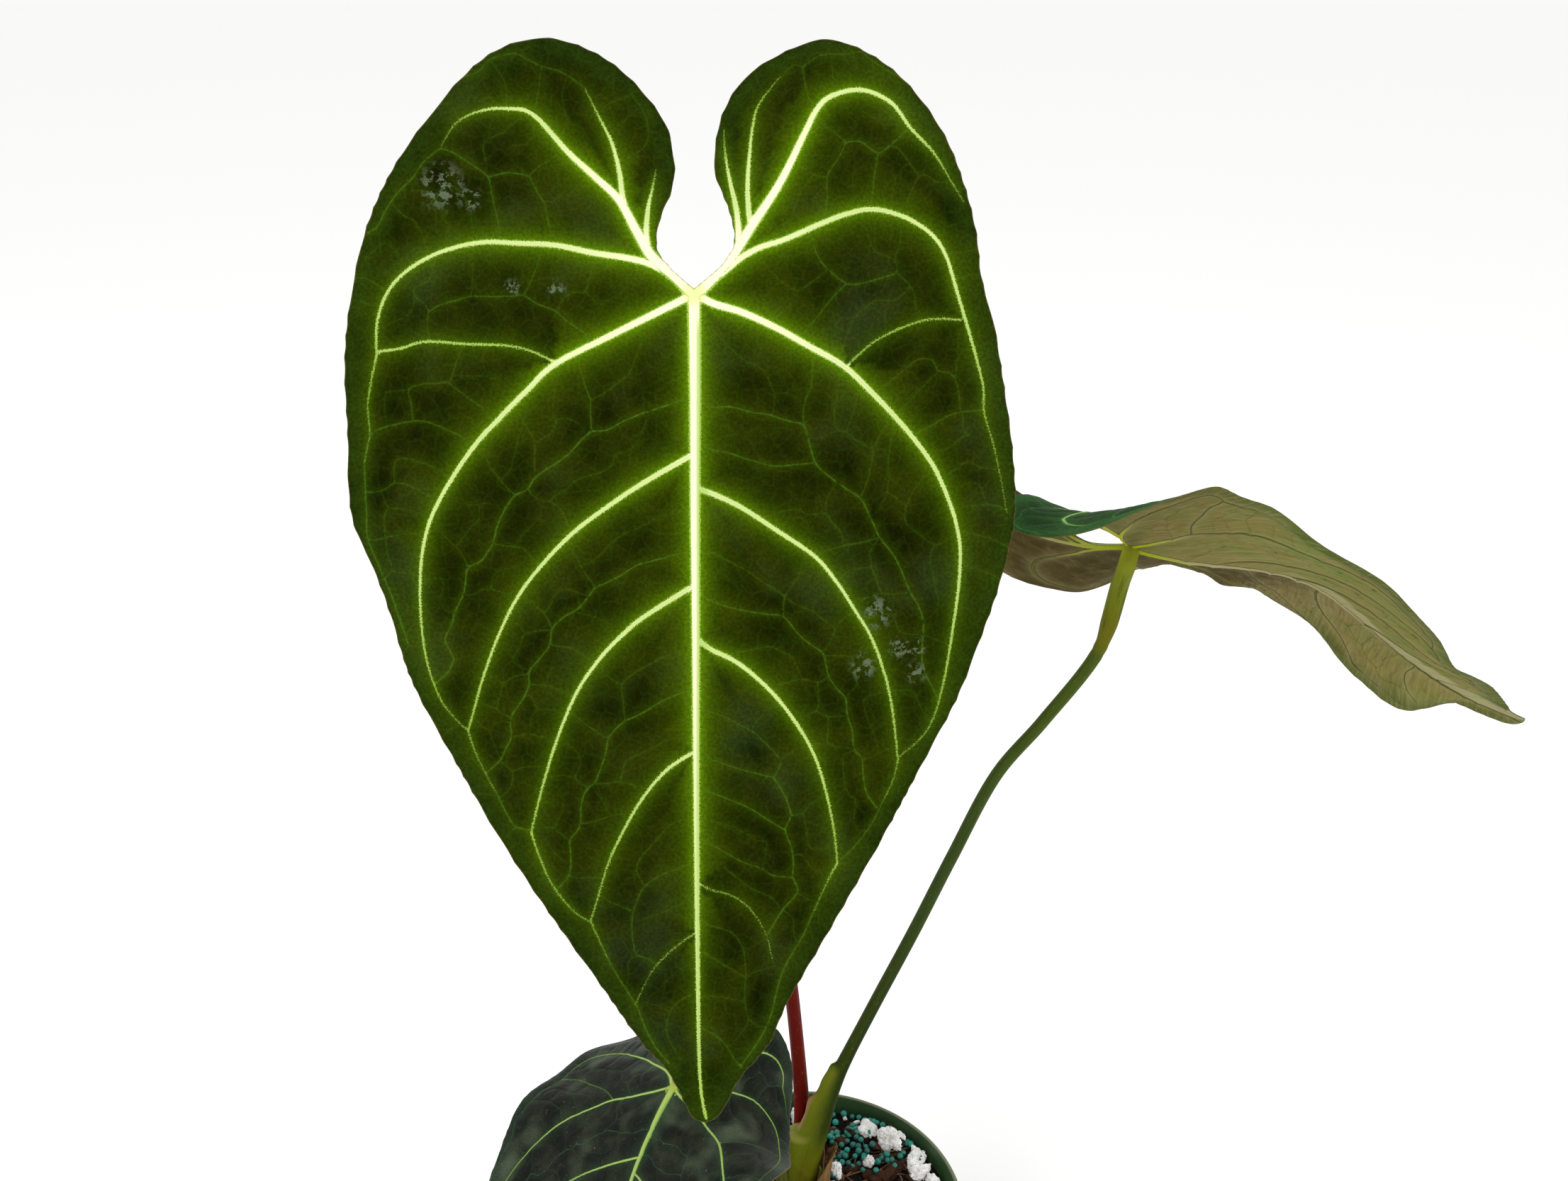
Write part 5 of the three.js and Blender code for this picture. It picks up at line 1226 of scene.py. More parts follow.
def sheath_tones(look, share, wing, edge):
    """The sheath: yellow-green to its edge, with painted shade on the far side, a pink edge, and a painted
    highlight along its lip.
    """
    turned = look.math("COSINE", look.attribute("around"))
    look.coat(look.times(look.step(turned, 0.0, 0.85, 0, 0.85), look.step(share, 0.214, 0.195)), wing)
    # Painted shade on the far side of the stalk's foot
    far_side = look.times(look.step(turned, 0.25, -0.5, 0, 0.85), look.step(share, 0.06, 0.12))
    look.coat(look.times(far_side, look.step(share, 0.55, 0.25)), "202c08")
    zone = look.times(look.step(share, 0.09, 0.1), look.step(share, 0.162, 0.145))
    look.coat(look.times(look.step(turned, 0.95, 0.99, 0, 0.85), zone), edge)
    # A painted highlight along the lip, on the -x side only
    tilted = look.math("MULTIPLY_ADD", turned, 0.012, share)
    lip = look.times(look.step(tilted, 0.092, 0.099), look.step(tilted, 0.106, 0.1))
    look.coat(look.times(lip, look.step(turned, 0.2, 0.9, 0, 0.45)), "a8a25c")


def stalk_look(name, colours, streak, sheath=None):
    """colours are rows of (share of the length, tone), streak is the tone of lengthwise marks, and sheath
    has the tones of a sheath's wing and edge."""
    look = Look(name, colours[0][1], 0.45, Specular_IOR_Level=0.05)
    share, straight = look.attribute("share"), look.attribute("straight", vector=True)
    at = look.plus(share, look.jitter(look.noise(straight, 9, 2), 0.05))
    for (low, _), (high, tone) in zip(colours, colours[1:]):
        look.coat(look.step(at, low, high), tone)
    lines = look.noise(straight, 0.9, 3, 0.6, stretch=(1, 1, 0.06))
    look.coat(look.step(lines, 0.52, 0.72, 0, 0.5), streak)
    flecks = look.noise(straight, 0.7, 2, 0.5, stretch=(1, 1, 0.35))
    look.coat(look.step(flecks, 0.64, 0.72, 0, 0.2), "8c9a5c")
    if sheath:
        sheath_tones(look, share, *sheath)
    return look.finish(look.plus(look.times(lines, 0.6), look.times(flecks, 0.3)), 0.25)


# Extra radius along the side stalk: the node's shoulder, then the sheath's thin edge
SHOULDER = [(0, 0.2), (0.034, 0.5), (0.062, 1.9), (0.081, 3.5), (0.093, 4.6), (0.099, 1.2), (0.107, 0.2),
            (0.13, 0)]
WING = [(0.09, 0), (0.105, 0.6), (0.121, 1.0), (0.136, 2.2), (0.145, 2.7), (0.153, 1.7), (0.164, 1.3),
        (0.179, 1.8), (0.196, 1.6), (0.206, 1.5), (0.211, 0)]


def sheath_shape(share, angle):
    """The node's shoulder that clasps the red stalk, the sheath's edge with its free tip, and a ring."""
    off = np.minimum(angle, 2 * np.pi - angle)
    tilt = 0.012 * np.cos(angle)
    shoulder = smooth_value(SHOULDER, share + tilt - 0.004) * peak(off, 0, 0.85)
    wing = smooth_value(WING, share) * peak(off, 0, 0.34)
    hollow = -0.5 * peak(angle, 0.75, 0.3) * smoothstep(0.1, 0.13, share) * smoothstep(0.21, 0.18, share)
    return shoulder + wing + hollow + 0.35 * peak(share - tilt, 0.045, 0.006)


def knee_shape(share, angle):
    """The swollen knee's slight wrinkles where the stalk bends."""
    zone = smoothstep(0.84, 0.87, share)
    return zone * (0.1 * np.sin(share * 420) * peak(share, 0.865, 0.012) + 0.05 * np.sin(3 * angle))


def side_stalk_shape(share, angle):
    """The side stalk's sheath and knee."""
    return sheath_shape(share, angle) + knee_shape(share, angle)


main_stalk_look = stalk_look(
    "main_stalk", [(0, "8e1c18"), (0.05, "7c150f"), (0.12, "60120b"), (0.5, "500f08"), (0.88, "563010"),
                   (0.95, "6a6c1c"), (1, "8c962c")], "380806")
side_stalk_look = stalk_look(
    "side_stalk", [(0, "5c5a10"), (0.03, "636010"), (0.09, "5c6610"), (0.15, "445010"), (0.21, "303c0c"),
                   (0.5, "36461a"), (0.85, "46561a"), (0.885, "636310"), (0.97, "707a18"), (1, "8e9426")],
    "26340e", sheath=("737c18", "a07850"))
young_stalk_look = stalk_look(
    "young_stalk", [(0, "66642a"), (0.15, "5c662a"), (0.5, "505a26"), (0.9, "6c782c"), (1, "8c9438")],
    "4a2820")
stalk_piece("main_leaf_stalk_fine", MAIN_STALK, MAIN_LEAF, main_stalk_look, "red_stalk", "main_leaf_stalk")
stalk_piece("side_leaf_stalk_fine", SIDE_STALK, SIDE_LEAF, side_stalk_look, "green_stalk", "side_leaf_stalk",
            sides=56, steps=300, shape=side_stalk_shape, gather=0.75)
stalk_piece("young_leaf_stalk_fine", YOUNG_STALK, YOUNG_LEAF, young_stalk_look, "young_stalk",
            "young_leaf_stalk", steps=90)

# Stem and roots

STEM_CENTRE = (-1.5, 12)
STEM_RADIUS = 10
STEM_BOTTOM, STEM_TOP, STEM_CROWN = 92, 125, 1
# The stem's radius along its height, and its rings as height and tilt, in shares of the stem's
STEM_SWELL = [(0, 0.45), (0.15, 0.75), (0.35, 0.92), (0.5, 0.86), (0.65, 0.96), (0.8, 1), (0.93, 0.94),
              (1, 0.8)]
STEM_RINGS = [(0.62, 0.4), (0.74, 2.2), (0.86, 4.0)]
ROOT_SEED, ROOT_COUNT, ROOT_RADIUS, ROOT_START = 5, 7, 1.9, 101
ROOT_REACH, ROOT_DEPTH, ROOT_BEND = (24, 31), (42, 72), 0.25
# A root's way out and down, in shares of its reach and depth, and its radius along its length
ROOT_WAY = [(0, 0), (0.45, 0.12), (0.85, 0.4), (1, 0.75), (1.02, 1)]
ROOT_TAPER = [(0, ROOT_RADIUS), (0.7, ROOT_RADIUS * 0.85), (1, ROOT_RADIUS * 0.5)]


def stem_shape(share, angle):
    """Rings where old leaves stood, and a bulge under each stalk."""
    rings = sum(0.45 * peak(share - 0.012 * np.cos(angle - turn), at, 0.02) for at, turn in STEM_RINGS)
    return rings + 0.35 * np.sin(2 * angle + 5 * share) + 0.2 * np.sin(5 * angle - 9 * share)


def stem_body():
    """The stem's points and faces, with a low crown on top."""
    t = np.linspace(0, 1, 40)
    line = np.array([(*STEM_CENTRE, STEM_BOTTOM + (STEM_TOP - STEM_BOTTOM) * share) for share in t])
    points, faces, _ = tube(line, smooth_value(STEM_SWELL, t) * STEM_RADIUS * 0.97, 56, stem_shape)
    points[-1] += (0, 0, STEM_CROWN)
    return points, faces


def root_draws():
    """The random numbers from 0 to 1 that the part's source draws for the roots."""
    state = ROOT_SEED
    while True:
        state = (state * 16807) % 2147483647
        yield state / 2147483647


def root_body(index, draws):
    """One root's points and faces."""
    x, y = STEM_CENTRE
    angle = 2 * math.pi * (index + 0.35 * next(draws)) / ROOT_COUNT
    reach = ROOT_REACH[0] + (ROOT_REACH[1] - ROOT_REACH[0]) * next(draws)
    depth = ROOT_DEPTH[0] + (ROOT_DEPTH[1] - ROOT_DEPTH[0]) * next(draws)
    bend = ROOT_BEND - 2 * ROOT_BEND * next(draws)
    route = []
    for out, down in ROOT_WAY:
        turn = angle + bend * down
        route.append((x + reach * out * math.cos(turn), y + reach * out * math.sin(turn),
                      ROOT_START - depth * down))
    return tube(route_line(route, 40), smooth_value(ROOT_TAPER, np.linspace(0, 1, 41)), 12)[:2]


def stem_look():
    """Green above the mix, brown in rings, and pale down to the roots."""
    look = Look("stem", "7d7448", 0.5, Specular_IOR_Level=0.35)
    at = look.place()
    z = look.plus(look.split(at)[2], look.jitter(look.noise(at, 6, 3), 8))
    rings = look.noise(at, 2.2, 3, 0.6, stretch=(0.3, 0.3, 1.6))
    look.coat(look.step(z, 108, 122), "8b9138")
    look.coat(look.step(rings, 0.5, 0.7, 0, 0.45), "6b5a34")
    look.coat(look.step(z, 110, 100), "b09a78")
    return look.finish(rings, 0.4, 0.6)


draws = root_draws()
stem_parts = [stem_body(), *(root_body(index, draws) for index in range(ROOT_COUNT))]
new_mesh("stem_and_roots_fine", *joined(stem_parts), [stem_look()], "stem", "stem_and_roots")

# Papery scales

SCALE_FOOT, SCALE_OUT, SCALE_STEPS = 114.6, 10.9, 34
# Each scale's direction, height, half its spread in degrees, outward lean, and turn of its tip
SCALES = [(-25, 26, 50, 2.5, 3), (80, 22, 42, 3.5, -2), (164, 16, 32, 4, 2)]


def scale_look():
    """Dry brown fibres, a little green at the foot."""
    look = Look("papery", "80602f", 0.7, Specular_IOR_Level=0.3)
    flat = look.attribute("flat", vector=True)
    fibre = look.noise(flat, 0.8, 4, 0.65, stretch=(1.0, 0.07, 1.0))
    look.coat(look.step(look.noise(flat, 6, 3), 0.35, 0.65), "9c7a4a")
    look.coat(look.step(fibre, 0.45, 0.65), "583a1e")
    look.coat(look.step(look.attribute("share"), 0.35, 0.0), "6e6628")
    return look.finish(fibre, 0.25, 0.7)


def scale_skin(index, tt, uu, angle, height, spread, lean, tip, depth):
    """One face of a scale, as points at the shares tt of its height and uu of its width."""
    narrowing = np.sqrt(np.maximum(0, 1 - tt ** 2.2))
    ragged = np.array([0.09 * noise.noise(Vector((u * 3.1, t * 7.3, index))) for t, u in zip(tt, uu)])
    turn = np.radians(angle + uu * spread * np.maximum(narrowing + ragged * tt, 0.05) + tip * tt * 3)
    ripple = 0.25 * np.sin(uu * 17 + index) * tt + 0.5 * tt * (1 - np.cos(uu * 2.2))
    out = SCALE_OUT + lean * tt ** 2 + depth + ripple
    level = SCALE_FOOT + height * tt * (1 - 0.04 * abs(np.sin(uu * 9 + index)))
    return np.stack([STEM_CENTRE[0] + out * np.cos(turn), STEM_CENTRE[1] + out * np.sin(turn), level], 1)


def build_scale(index, look, angle, height, spread, lean, tip):
    """A curled papery scale at the foot of the stalks, thin and ragged to its tip."""
    t, u = np.linspace(0, 1, SCALE_STEPS + 1), np.linspace(-1, 1, SCALE_STEPS + 1)
    tt, uu = (rows.ravel() for rows in np.meshgrid(t, u, indexing="ij"))
    skins = [scale_skin(index, tt, uu, angle, height, spread, lean, tip, depth) for depth in (0.62, 0.3)]
    count = len(tt)
    ids = np.arange(count).reshape(SCALE_STEPS + 1, -1)
    outer = np.stack([ids[:-1, :-1], ids[:-1, 1:], ids[1:, 1:], ids[1:, :-1]], 2).reshape(-1, 4)
    border = [*ids[0, :], *ids[1:, -1], *ids[-1, -2::-1], *ids[-2:0:-1, 0]]
    faces = [*outer, *(outer[:, ::-1] + count), *band([k + count for k in border], border)]
    thing = new_mesh(f"papery_scale_fine_{index}", np.concatenate(skins), faces, [look], "dry_scale",
                     f"papery_scale_{index}")
    flat = np.stack([uu * spread * 0.19, tt * height, np.full(count, index * 9.0)], 1)
    point_attributes(thing, flat=np.concatenate([flat, flat]), share=np.concatenate([tt, tt]))


papery = scale_look()
for n, row in enumerate(SCALES, 1):
    build_scale(n, papery, *row)

# Pot

POT_HEIGHT, POT_RIM, POT_BASE, POT_WALL = 120, 63.5, 45, 1.5
POT_LIP_FOOT, POT_NECK, POT_CHAMFER = 111, 61.3, 2.5
DRAIN_COUNT, DRAIN_RADIUS, DRAIN_CIRCLE, DRAIN_SIDES = 8, 4.5, 38, 28
POT_SIDES = 160
# How close to the rim of the floor a point counts as on it
AT_RIM = 0.001


def rounded(profile, radius=0.45, steps=3):
    """A profile with its corners rounded."""
    p = np.array(profile, float)
    made = [p[0]]
    for a, b, c in zip(p, p[1:], p[2:]):
        r = min(radius, np.linalg.norm(b - a) * 0.4, np.linalg.norm(c - b) * 0.4)
        start, end = b + unit(a - b) * r, b + unit(c - b) * r
        made += [start * (1 - t) ** 2 + 2 * b * t * (1 - t) + end * t * t
                 for t in np.linspace(0, 1, steps + 1)]
    return [*made, p[-1]]


def pot_profile():
    """Radius and height from the underside, up the wall, over the rolled rim and down to the inner floor."""
    shoulder, below_lip = POT_NECK - 0.6, POT_LIP_FOOT - 2
    wall = [(POT_BASE + (shoulder - POT_BASE) * t, POT_CHAMFER + (below_lip - POT_CHAMFER) * t)
            for t in np.linspace(0, 1, 9)]
    rim = [(POT_NECK, POT_LIP_FOOT), (POT_RIM - 0.8, POT_LIP_FOOT + 0.5), (POT_RIM - 0.4, POT_HEIGHT - 1.4),
           (POT_RIM - 0.9, POT_HEIGHT - 0.3), (POT_RIM - 1.6, POT_HEIGHT), (POT_RIM - 2.3, POT_HEIGHT - 0.6)]
    lining = [(POT_NECK - POT_WALL + 0.4, POT_LIP_FOOT + 1.5), (shoulder - POT_WALL, below_lip),
              (POT_BASE - POT_WALL + 0.2, POT_CHAMFER + 2), (POT_BASE - POT_WALL - 2, POT_WALL)]
    return rounded([(POT_BASE - POT_CHAMFER, 0), *wall, *rim, *lining])


def pot_floor(points, faces, rim, radius, z, up):
    """Adds one face of the floor with its drain holes, and returns the point numbers round each hole. rim
    has the numbers of the points round the floor, where a hole ends that would reach past them."""
    centres = circle(DRAIN_CIRCLE, DRAIN_COUNT, math.pi / DRAIN_COUNT)
    holes = [centre + circle(DRAIN_RADIUS, DRAIN_SIDES) for centre in centres]
    flat, edges = list(circle(radius, POT_SIDES)), neighbours(range(POT_SIDES))
    for hole in holes:
        edges += neighbours(range(len(flat), len(flat) + DRAIN_SIDES))
        flat += list(hole)
    xy, tri = triangulate(flat, edges)
    centre = xy[tri].mean(1)
    tri = tri[(np.hypot(*centre.T) < radius) & ~np.any([inside(hole, centre) for hole in holes], 0)]
    around = np.round(np.arctan2(xy[:, 1], xy[:, 0]) / (2 * math.pi) * POT_SIDES).astype(int) % POT_SIDES
    within_rim = np.hypot(*xy.T) < radius - AT_RIM
    number = np.where(within_rim, len(points) + np.cumsum(within_rim) - 1, rim[0] + around)
    points += [(x, y, z) for x, y in xy[within_rim]]
    faces += number[tri if up else tri[:, ::-1]].tolist()
    return [number[nearest(tree_of(xy), hole)[0]].tolist() for hole in holes]


def pot_body():
    """The pot's points and faces: the turned wall, both faces of the floor, and the walls of the holes."""
    profile = pot_profile()
    points = [(x, y, z) for radius, z in profile for x, y in circle(radius, POT_SIDES)]
    rings = [range(k * POT_SIDES, (k + 1) * POT_SIDES) for k in range(len(profile))]
    faces = [face for first, second in zip(rings, rings[1:]) for face in band(first, second)]
    below = pot_floor(points, faces, rings[0], profile[0][0], 0.0, False)
    above = pot_floor(points, faces, rings[-1], profile[-1][0], POT_WALL, True)
    for low, high in zip(below, above):
        faces += band(high, low)
    return points, faces


def pot_look():
    """Green moulded plastic, clouded, scuffed and dusty, with a painted highlight along the rim."""
    look = Look("pot_plastic", "2d4528", 0.42, Specular_IOR_Level=0.3)
    at = look.place()
    z = look.split(at)[2]
    cloud = look.noise(at, 22, 4, 0.6)
    scuff = look.noise(at, 2.4, 4, 0.7, stretch=(1, 1, 0.12))
    look.coat(look.step(cloud, 0.35, 0.68), "36502f")
    look.coat(look.step(scuff, 0.63, 0.74, 0, 0.3), "6c7e62")
    # A painted highlight along the top of the rim
    look.coat(look.step(z, 119.3, 119.8, 0, 0.6), "84886a")
    dust = look.step(look.noise(at, 1.3, 4, 0.7), 0.55, 0.7)
    look.coat(look.times(dust, look.step(z, 16, 2, 0, 0.5)), "8a8472")
    look.put(look.shader.inputs["Roughness"], look.step(cloud, 0.3, 0.7, 0.36, 0.52))
    return look.finish(look.plus(look.noise(at, 0.9, 2), look.times(scuff, 0.5)), 0.12)


new_mesh("pot_fine", *pot_body(), [pot_look()], "pot_plastic", "pot")

# Potting mix

MIX_TOP, MIX_RADIUS, MIX_SIDES, MIX_SPACING = 112, 58.9, 200, 1.15
# The mix's body under its top, as radius and height
MIX_BODY = [(57.6, 107), (43.2, 4.9), (41.0, 1.9)]
BANK_RISE, BANK_TURN, BANK_SPREAD = 3.6, 0.75, 0.7


def mix_height(x, y):
    """The level of the mix: the swell of the source, finer clods, and a bank against the pot's wall."""
    swell = 1.2 * math.sin(x / 7 + 1) * math.cos(y / 9 - 0.5)
    clods = 1.1 * noise.noise(Vector((x / 5.5, y / 5.5, 3.0)))
    crumbs = 0.8 * noise.noise(Vector((x / 2.1, y / 2.1, 8.0)))
    out = math.hypot(x, y) / MIX_RADIUS
    away = (math.atan2(y, x) - BANK_TURN) / BANK_SPREAD
    bank = BANK_RISE * math.exp(-away * away) * min(1.0, max(0.0, (out - 0.5) / 0.42)) ** 1.5
    level = MIX_TOP + bank + (swell + clods + crumbs) * (1 - out ** 8 * 0.6)
    return level - 1.3 * max(0.0, (out - 0.9) / 0.1) ** 2 - 0.5


def mix_body():
    """The points and faces of the mix: its crumbly top, and a plain body that fills the pot."""
    grid = np.array([(x + n % 2 * MIX_SPACING / 2, y)
                     for n, y in enumerate(np.arange(-MIX_RADIUS, MIX_RADIUS, MIX_SPACING * 0.87))
                     for x in np.arange(-MIX_RADIUS, MIX_RADIUS, MIX_SPACING)])
    grid = grid[np.hypot(*grid.T) < MIX_RADIUS - 0.8]
    rim = circle(MIX_RADIUS, MIX_SIDES)
    xy, tri = triangulate([*rim, *grid], neighbours(range(MIX_SIDES)))
    points = [(x, y, mix_height(x, y)) for x, y in xy]
    faces = tri.tolist()
    ring = nearest(tree_of(xy), rim)[0].tolist()
    for radius, z in MIX_BODY:
        lower = list(range(len(points), len(points) + MIX_SIDES))
        points += [(x, y, z) for x, y in circle(radius, MIX_SIDES)]
        faces += band(lower, ring)
        ring = lower
    points.append((0, 0, MIX_BODY[-1][1]))
    return points, faces + fan(len(points) - 1, ring[::-1])


def mix_look():
    """Dark crumbs with fibres and pale dust."""
    look = Look("mix", "080503", 0.95, Specular_IOR_Level=0.15)
    at = look.place()
    crumb = look.noise(at, 1.6, 5, 0.7)
    fibre = look.noise(at, 1.0, 4, 0.7, stretch=(0.25, 1, 1))
    look.coat(look.step(crumb, 0.35, 0.65), "1d120b")
    look.coat(look.step(fibre, 0.58, 0.7, 0, 0.6), "3c2415")
    look.coat(look.step(look.noise(at, 0.8, 2), 0.68, 0.74, 0, 0.6), "8a8274")
    return look.finish(look.plus(crumb, fibre), 0.9, 0.9)


new_mesh("potting_mix_fine", *mix_body(), [mix_look()], "mix", "potting_mix")

# Grains on the mix

STEM_CLEAR = 12.5
GRAIN_LIMIT = 58.6
PERLITE_COUNT, BARK_COUNT, FIBRE_COUNT = 74, 150, 120
CLUSTERS, CLUSTER_SPREAD, LONE_PRILLS = 13, 3.4, 46
PERLITE_RADII = (1.1, 1.5, 1.9, 2.4, 3.0, 3.8)
# How far a place shifts for the camera, per millimetre of rise
SEEN_SHIFT = (0.11, 1.04)
# Perlite and feed prills that show beside the stem, as x and y at the level MIX_TOP. Perlite has its half
# width and half height too.
PERLITE_SEEN = [
    (27.6, 46.4, 5.4, 2.7), (37.7, 46.1, 3.2, 2.6), (35.7, 40.2, 6.6, 5.0), (45, 43, 3.2, 3),
    (49.2, 35.5, 2.5, 2.3), (47.5, 30.3, 6.2, 2.6), (47.2, 22, 5.2, 3.6), (52.5, 17.5, 3.6, 3.2),
    (26.8, 29.2, 3, 2.8), (13.4, 22.6, 4.2, 3.4), (17.8, 54, 1.3, 1.1), (22.9, 51.5, 1.6, 1.3),
    (12.6, 43.4, 2, 1.2), (45.3, 25.8, 2, 1.2),
]
PRILLS_SEEN = [
    (17.9, 56.5), (21.5, 55.2), (24.9, 54.6), (27.7, 53.8), (28.8, 52.2), (32.1, 52.4), (34.6, 52.0),
    (37.3, 50.3), (41.2, 47.6), (13.7, 50.3), (11.9, 39.5), (14.2, 44.8), (14.4, 41.7), (16.9, 42.2),
    (18.7, 44.8), (15.9, 37.3), (18.4, 39.7), (20.7, 37.7), (18.1, 34.8), (22.9, 36.9), (26.1, 36.6),
    (23.0, 33.9), (28.9, 37.4), (28.2, 44.6), (26.5, 33.9), (12.3, 30.8), (14.9, 30.8), (13.1, 27.9),
    (15.8, 27.9), (18.4, 27.6), (20.2, 25.0), (22.6, 26.9), (30.6, 28.2), (32.0, 30.8), (34.6, 32.3),
    (34.6, 29.1), (40.0, 31.2), (41.4, 33.1), (43.4, 28.7), (49.0, 40.3), (46.2, 38.3), (43.2, 38.4),
    (24.2, 23.6), (29.6, 23.4), (37.5, 26.1), (21.3, 30.9), (25.0, 31.2),
]


def ball(level):
    """The points and faces of a round ball."""
    mesh = bmesh.new()
    bmesh.ops.create_icosphere(mesh, subdivisions=level, radius=1)
    mesh.verts.index_update()
    made = np.array([v.co[:] for v in mesh.verts]), [tuple(v.index for v in f.verts) for f in mesh.faces]
    mesh.free()
    return made


def grains(name, look, placed, level, roughen, seed):
    """Many small bodies as one mesh. placed is a list of (centre, half sizes, turn)."""
    base, faces = ball(level)
    draw = random.Random(seed)
    bodies, tone = [], []
    for centre, half, turn in placed:
        shift = Vector([draw.uniform(-50, 50) for _ in range(3)])
        body = np.array([point * roughen(Vector(point), shift) for point in base]) * np.array(half)
        bodies.append((body @ np.array(turn.to_matrix()).T + np.array(centre), faces))
        tone += [draw.random()] * len(base)
    point_attributes(new_mesh(name, *joined(bodies), [look], "mix"), tone=tone)


def any_turn(draw, tilt=3.14):
    """A turn of any heading, tilted by up to that angle."""
    return Euler((draw.uniform(-tilt, tilt), draw.uniform(-tilt, tilt), draw.uniform(-3.14, 3.14)))


def from_stem(x, y):
    """The distance to the middle of the stem."""
    return math.hypot(x - STEM_CENTRE[0], y - STEM_CENTRE[1])


def free_place(draw, limit, clear=STEM_CLEAR):
    """A place on the mix within a radius and clear of the stem."""
    while True:
        out, angle = math.sqrt(draw.random()) * limit, draw.uniform(0, 2 * math.pi)
        x, y = out * math.cos(angle), out * math.sin(angle)
        if from_stem(x, y) > clear:
            return x, y


def as_seen(x, y):
    """The place on the mix that the camera sees where (x, y) lies at the level MIX_TOP."""
    at = (x, y)
    for _ in range(5):
        rise = mix_height(*at) - MIX_TOP
        at = (x - SEEN_SHIFT[0] * rise, y - SEEN_SHIFT[1] * rise)
    return at


def within(x, y, size):
    """A place drawn towards the middle until a grain of that size clears the pot's wall."""
    keep = min(1.0, (GRAIN_LIMIT - size) / math.hypot(x, y))
    return x * keep, y * keep


def on_mix(x, y, lift):
    """A point over the mix."""
    return x, y, mix_height(x, y) + lift


def lumpy(p, shift):
    """Perlite's lumps, as a factor of its radius."""
    return (1.04 + 0.42 * noise.noise(p * 1.1 + shift) - 0.4 * abs(noise.noise(p * 1.9 + shift))
            - 0.2 * abs(noise.noise(p * 4.5 + shift)) + 0.08 * noise.noise(p * 13 + shift))


def flaky(p, shift):
    """The lengthwise flakes of bark."""
    flakes = noise.noise(Vector((p.x * 0.9, p.y * 2.4, p.z * 2.4)) + shift)
    return 1 + 0.4 * flakes + 0.12 * noise.noise(p * 6 + shift)


def nearly_round(p, shift):
    """The slight unevenness of a prill."""
    return 1 + 0.05 * noise.noise(p * 2 + shift)


def perlite_look():
    """White, with brown dirt and dark pores."""
    look = Look("perlite", "e2dfd9", 0.85, Specular_IOR_Level=0.3)
    at = look.place()
    pores, cloud = look.cells(at, 0.62), look.noise(at, 2.6, 4, 0.65)
    look.coat(look.step(cloud, 0.35, 0.6), "ffffff")
    look.coat(look.step(pores, 0.2, 0.02, 0, 0.45), "8f8578")
    look.coat(look.step(look.noise(at, 1.3, 4, 0.75), 0.57, 0.65, 0, 0.75), "57442f")
    return look.finish(look.plus(look.step(pores, 0.0, 0.3), look.times(cloud, 1.2)), 0.35, 0.9)


def build_perlite(draw):
    """The perlite that shows beside the stem, then the rest, kept off the part of the mix that shows."""
    look = perlite_look()
    placed = []
    for x, y, wide, high in PERLITE_SEEN:
        x, y = within(*as_seen(x, y), 0.8 * wide)
        size = (wide, wide * draw.uniform(0.55, 0.8), high)
        placed.append((on_mix(x, y, high * 0.34), size, any_turn(draw, 0.35)))
    grains("perlite_seen", look, placed, 5, lumpy, 5)
    placed = []
    while len(placed) < PERLITE_COUNT:
        x, y = free_place(draw, 54)
        if x > 6 and y > 16:
            continue
        radius = draw.choice(PERLITE_RADII)
        size = (radius * draw.uniform(1, 1.45), radius, radius * draw.uniform(0.6, 0.9))
        x, y = within(x, y, size[0])
        placed.append((on_mix(x, y, size[2] * 0.35), size, any_turn(draw, 0.5)))
    grains("perlite", look, placed, 3, lumpy, 6)


def bark_look():
    """Brown bark of many tones, streaked and dusted."""
    look = Look("bark", "180d07", 0.85, Specular_IOR_Level=0.2)
    at = look.place()
    grain = look.noise(at, 1.2, 5, 0.7, stretch=(0.3, 1, 1))
    look.coat(look.attribute("tone"), "4c2c18")
    look.coat(look.step(grain, 0.42, 0.65), "3a2214")
    look.coat(look.step(look.noise(at, 0.9, 3), 0.64, 0.72, 0, 0.45), "94704c")
    return look.finish(grain, 0.6, 0.9)


def build_bark(draw):
    """Flat bark chips all over the mix."""
    placed = []
    while len(placed) < BARK_COUNT:
        x, y = free_place(draw, 54)
        size = draw.uniform(2.6, 6.5), draw.uniform(1.5, 3.2), draw.uniform(0.7, 1.6)
        x, y = within(x, y, size[0])
        placed.append((on_mix(x, y, size[2] * 0.3), size, any_turn(draw, 0.45)))
    grains("bark_chips", bark_look(), placed, 3, flaky, 7)


def prill_look():
    """Teal, each prill of its own tone."""
    look = Look("prills", "0c5a50", 0.38, Specular_IOR_Level=0.5)
    at = look.place()
    look.coat(look.attribute("tone"), "1c8a78")
    look.coat(look.step(look.noise(at, 0.9, 3), 0.5, 0.75, 0, 0.4), "0a3f3a")
    return look.finish(look.noise(at, 0.5, 2), 0.06)


def prill(draw, x, y):
    """One prill's centre, size and turn."""
    radius = draw.uniform(1.1, 1.45)
    x, y = within(x, y, radius)
    return on_mix(x, y, radius * draw.uniform(0.5, 1.0) + 0.4), (radius,) * 3, any_turn(draw)


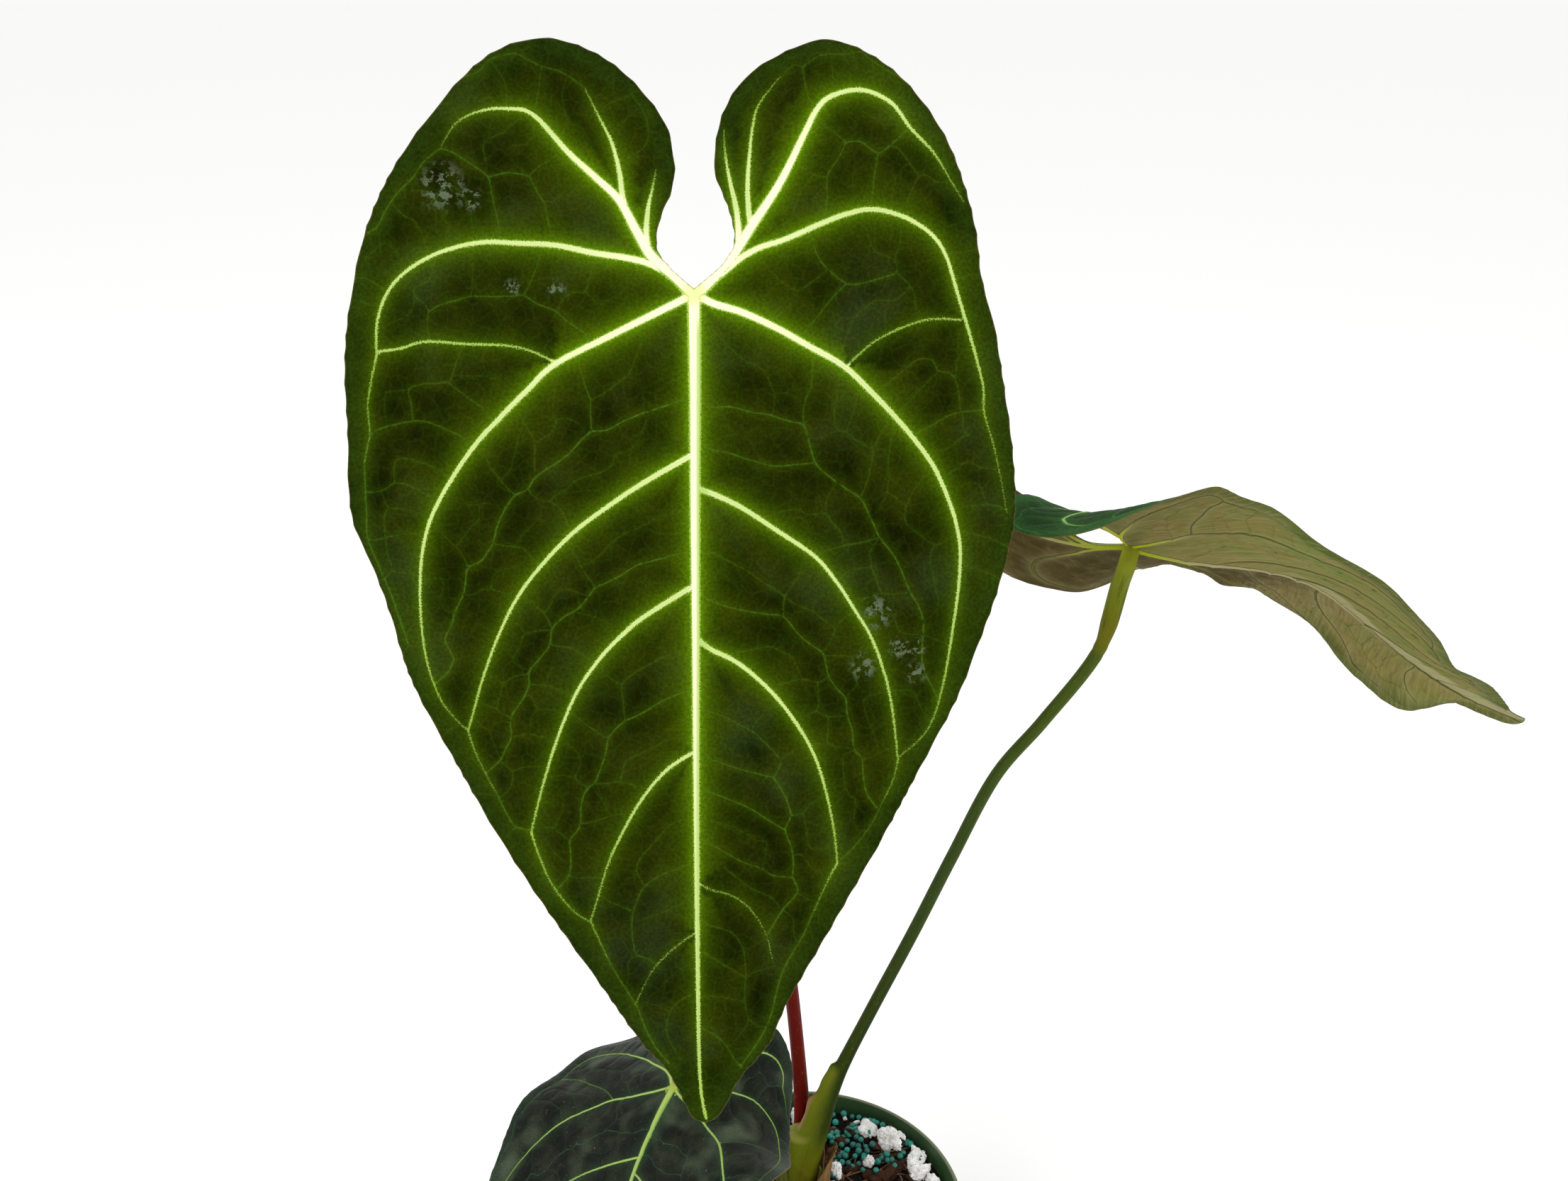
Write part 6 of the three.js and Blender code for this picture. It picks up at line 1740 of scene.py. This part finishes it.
def build_prills(draw):
    """Feed prills: those that show beside the stem, clusters, and lone ones."""
    placed = [prill(draw, *as_seen(x, y)) for x, y in PRILLS_SEEN]
    for _ in range(CLUSTERS):
        centre_x, centre_y = free_place(draw, 50, 16)
        for _ in range(draw.randint(5, 15)):
            x, y = centre_x + draw.gauss(0, CLUSTER_SPREAD), centre_y + draw.gauss(0, CLUSTER_SPREAD)
            if math.hypot(x, y) < 56 and from_stem(x, y) > STEM_CLEAR:
                placed.append(prill(draw, x, y))
    placed += [prill(draw, *free_place(draw, 55)) for _ in range(LONE_PRILLS)]
    grains("feed_prills", prill_look(), placed, 3, nearly_round, 8)


def fibre_look():
    """Brown fibres."""
    look = Look("fibres", "3a2416", 0.9, Specular_IOR_Level=0.2)
    at = look.place()
    look.coat(look.step(look.noise(at, 5, 2), 0.4, 0.6), "7a5a3c")
    return look.finish(look.noise(at, 0.4, 2), 0.1)


def fibre(draw):
    """One thin fibre that lies over the mix, as points and faces."""
    x, y = free_place(draw, 52, 14)
    angle, reach = draw.uniform(0, 6.28), draw.uniform(3, 9)
    route = []
    for t in (-1, -0.4, 0.3, 1):
        u = x + math.cos(angle) * reach * t + draw.uniform(-1, 1)
        v = y + math.sin(angle) * reach * t + draw.uniform(-1, 1)
        u, v = within(u, v, 2.1)
        route.append(on_mix(u, v, draw.uniform(0.2, 1.6)))
    return tube(route_line(route, 14), np.full(15, draw.uniform(0.14, 0.32)), 5)[:2]


def build_fibres(draw):
    """Fibres scattered over the mix."""
    bodies = [fibre(draw) for _ in range(FIBRE_COUNT)]
    new_mesh("mix_fibres", *joined(bodies), [fibre_look()], "mix")


grain_draw = random.Random(77)
for build in (build_perlite, build_bark, build_prills, build_fibres):
    build(grain_draw)

# Floor, light and camera

FLOOR_REACH = 6
LIGHT_TARGET = (0, 0, 0.35)
CAMERA_PLACE, CAMERA_PITCH, CAMERA_LENS, CAMERA_SENSOR = (-0.0083, -0.482, 0.6147), 25.2, 37.43, 36


def build_floor():
    """A plain pale floor under the pot."""
    floor = bpy.data.objects.new("floor", bpy.data.meshes.new("floor"))
    corners = [(x * FLOOR_REACH, y * FLOOR_REACH, 0) for x, y in ((-1, -1), (1, -1), (1, 1), (-1, 1))]
    floor.data.from_pydata(corners, [], [(0, 1, 2, 3)])
    bpy.context.scene.collection.objects.link(floor)
    floor.data.materials.append(Look("floor", "fefefd", 0.8).finish())


def build_world():
    """Soft white light from all sides."""
    world = bpy.data.worlds.new("studio")
    world.use_nodes = True
    colour, strength = world.node_tree.nodes["Background"].inputs[:2]
    colour.default_value = (1.0, 1.0, 1.0, 1)
    strength.default_value = 0.95
    bpy.context.scene.world = world


def area_light(name, place, size, power):
    """A round soft light that points at the plant."""
    light = bpy.data.lights.new(name, "AREA")
    light.shape = "DISK"
    light.size = size
    light.energy = power
    thing = bpy.data.objects.new(name, light)
    thing.location = place
    thing.rotation_euler = (Vector(LIGHT_TARGET) - Vector(place)).to_track_quat("-Z", "Y").to_euler()
    bpy.context.scene.collection.objects.link(thing)


def build_camera():
    """The photograph's camera, as solved from the pot's rim."""
    data = bpy.data.cameras.new("camera")
    data.sensor_width = CAMERA_SENSOR
    data.lens = CAMERA_LENS
    camera = bpy.data.objects.new("camera", data)
    camera.location = CAMERA_PLACE
    camera.rotation_euler = (math.radians(90 - CAMERA_PITCH), 0, 0)
    bpy.context.scene.collection.objects.link(camera)
    bpy.context.scene.camera = camera


build_floor()
build_world()
area_light("key", (-0.7, -1.0, 1.6), 0.9, 14)
area_light("fill", (1.3, -0.8, 0.9), 1.0, 5)
build_camera()
bpy.context.scene.view_settings.view_transform = "Standard"
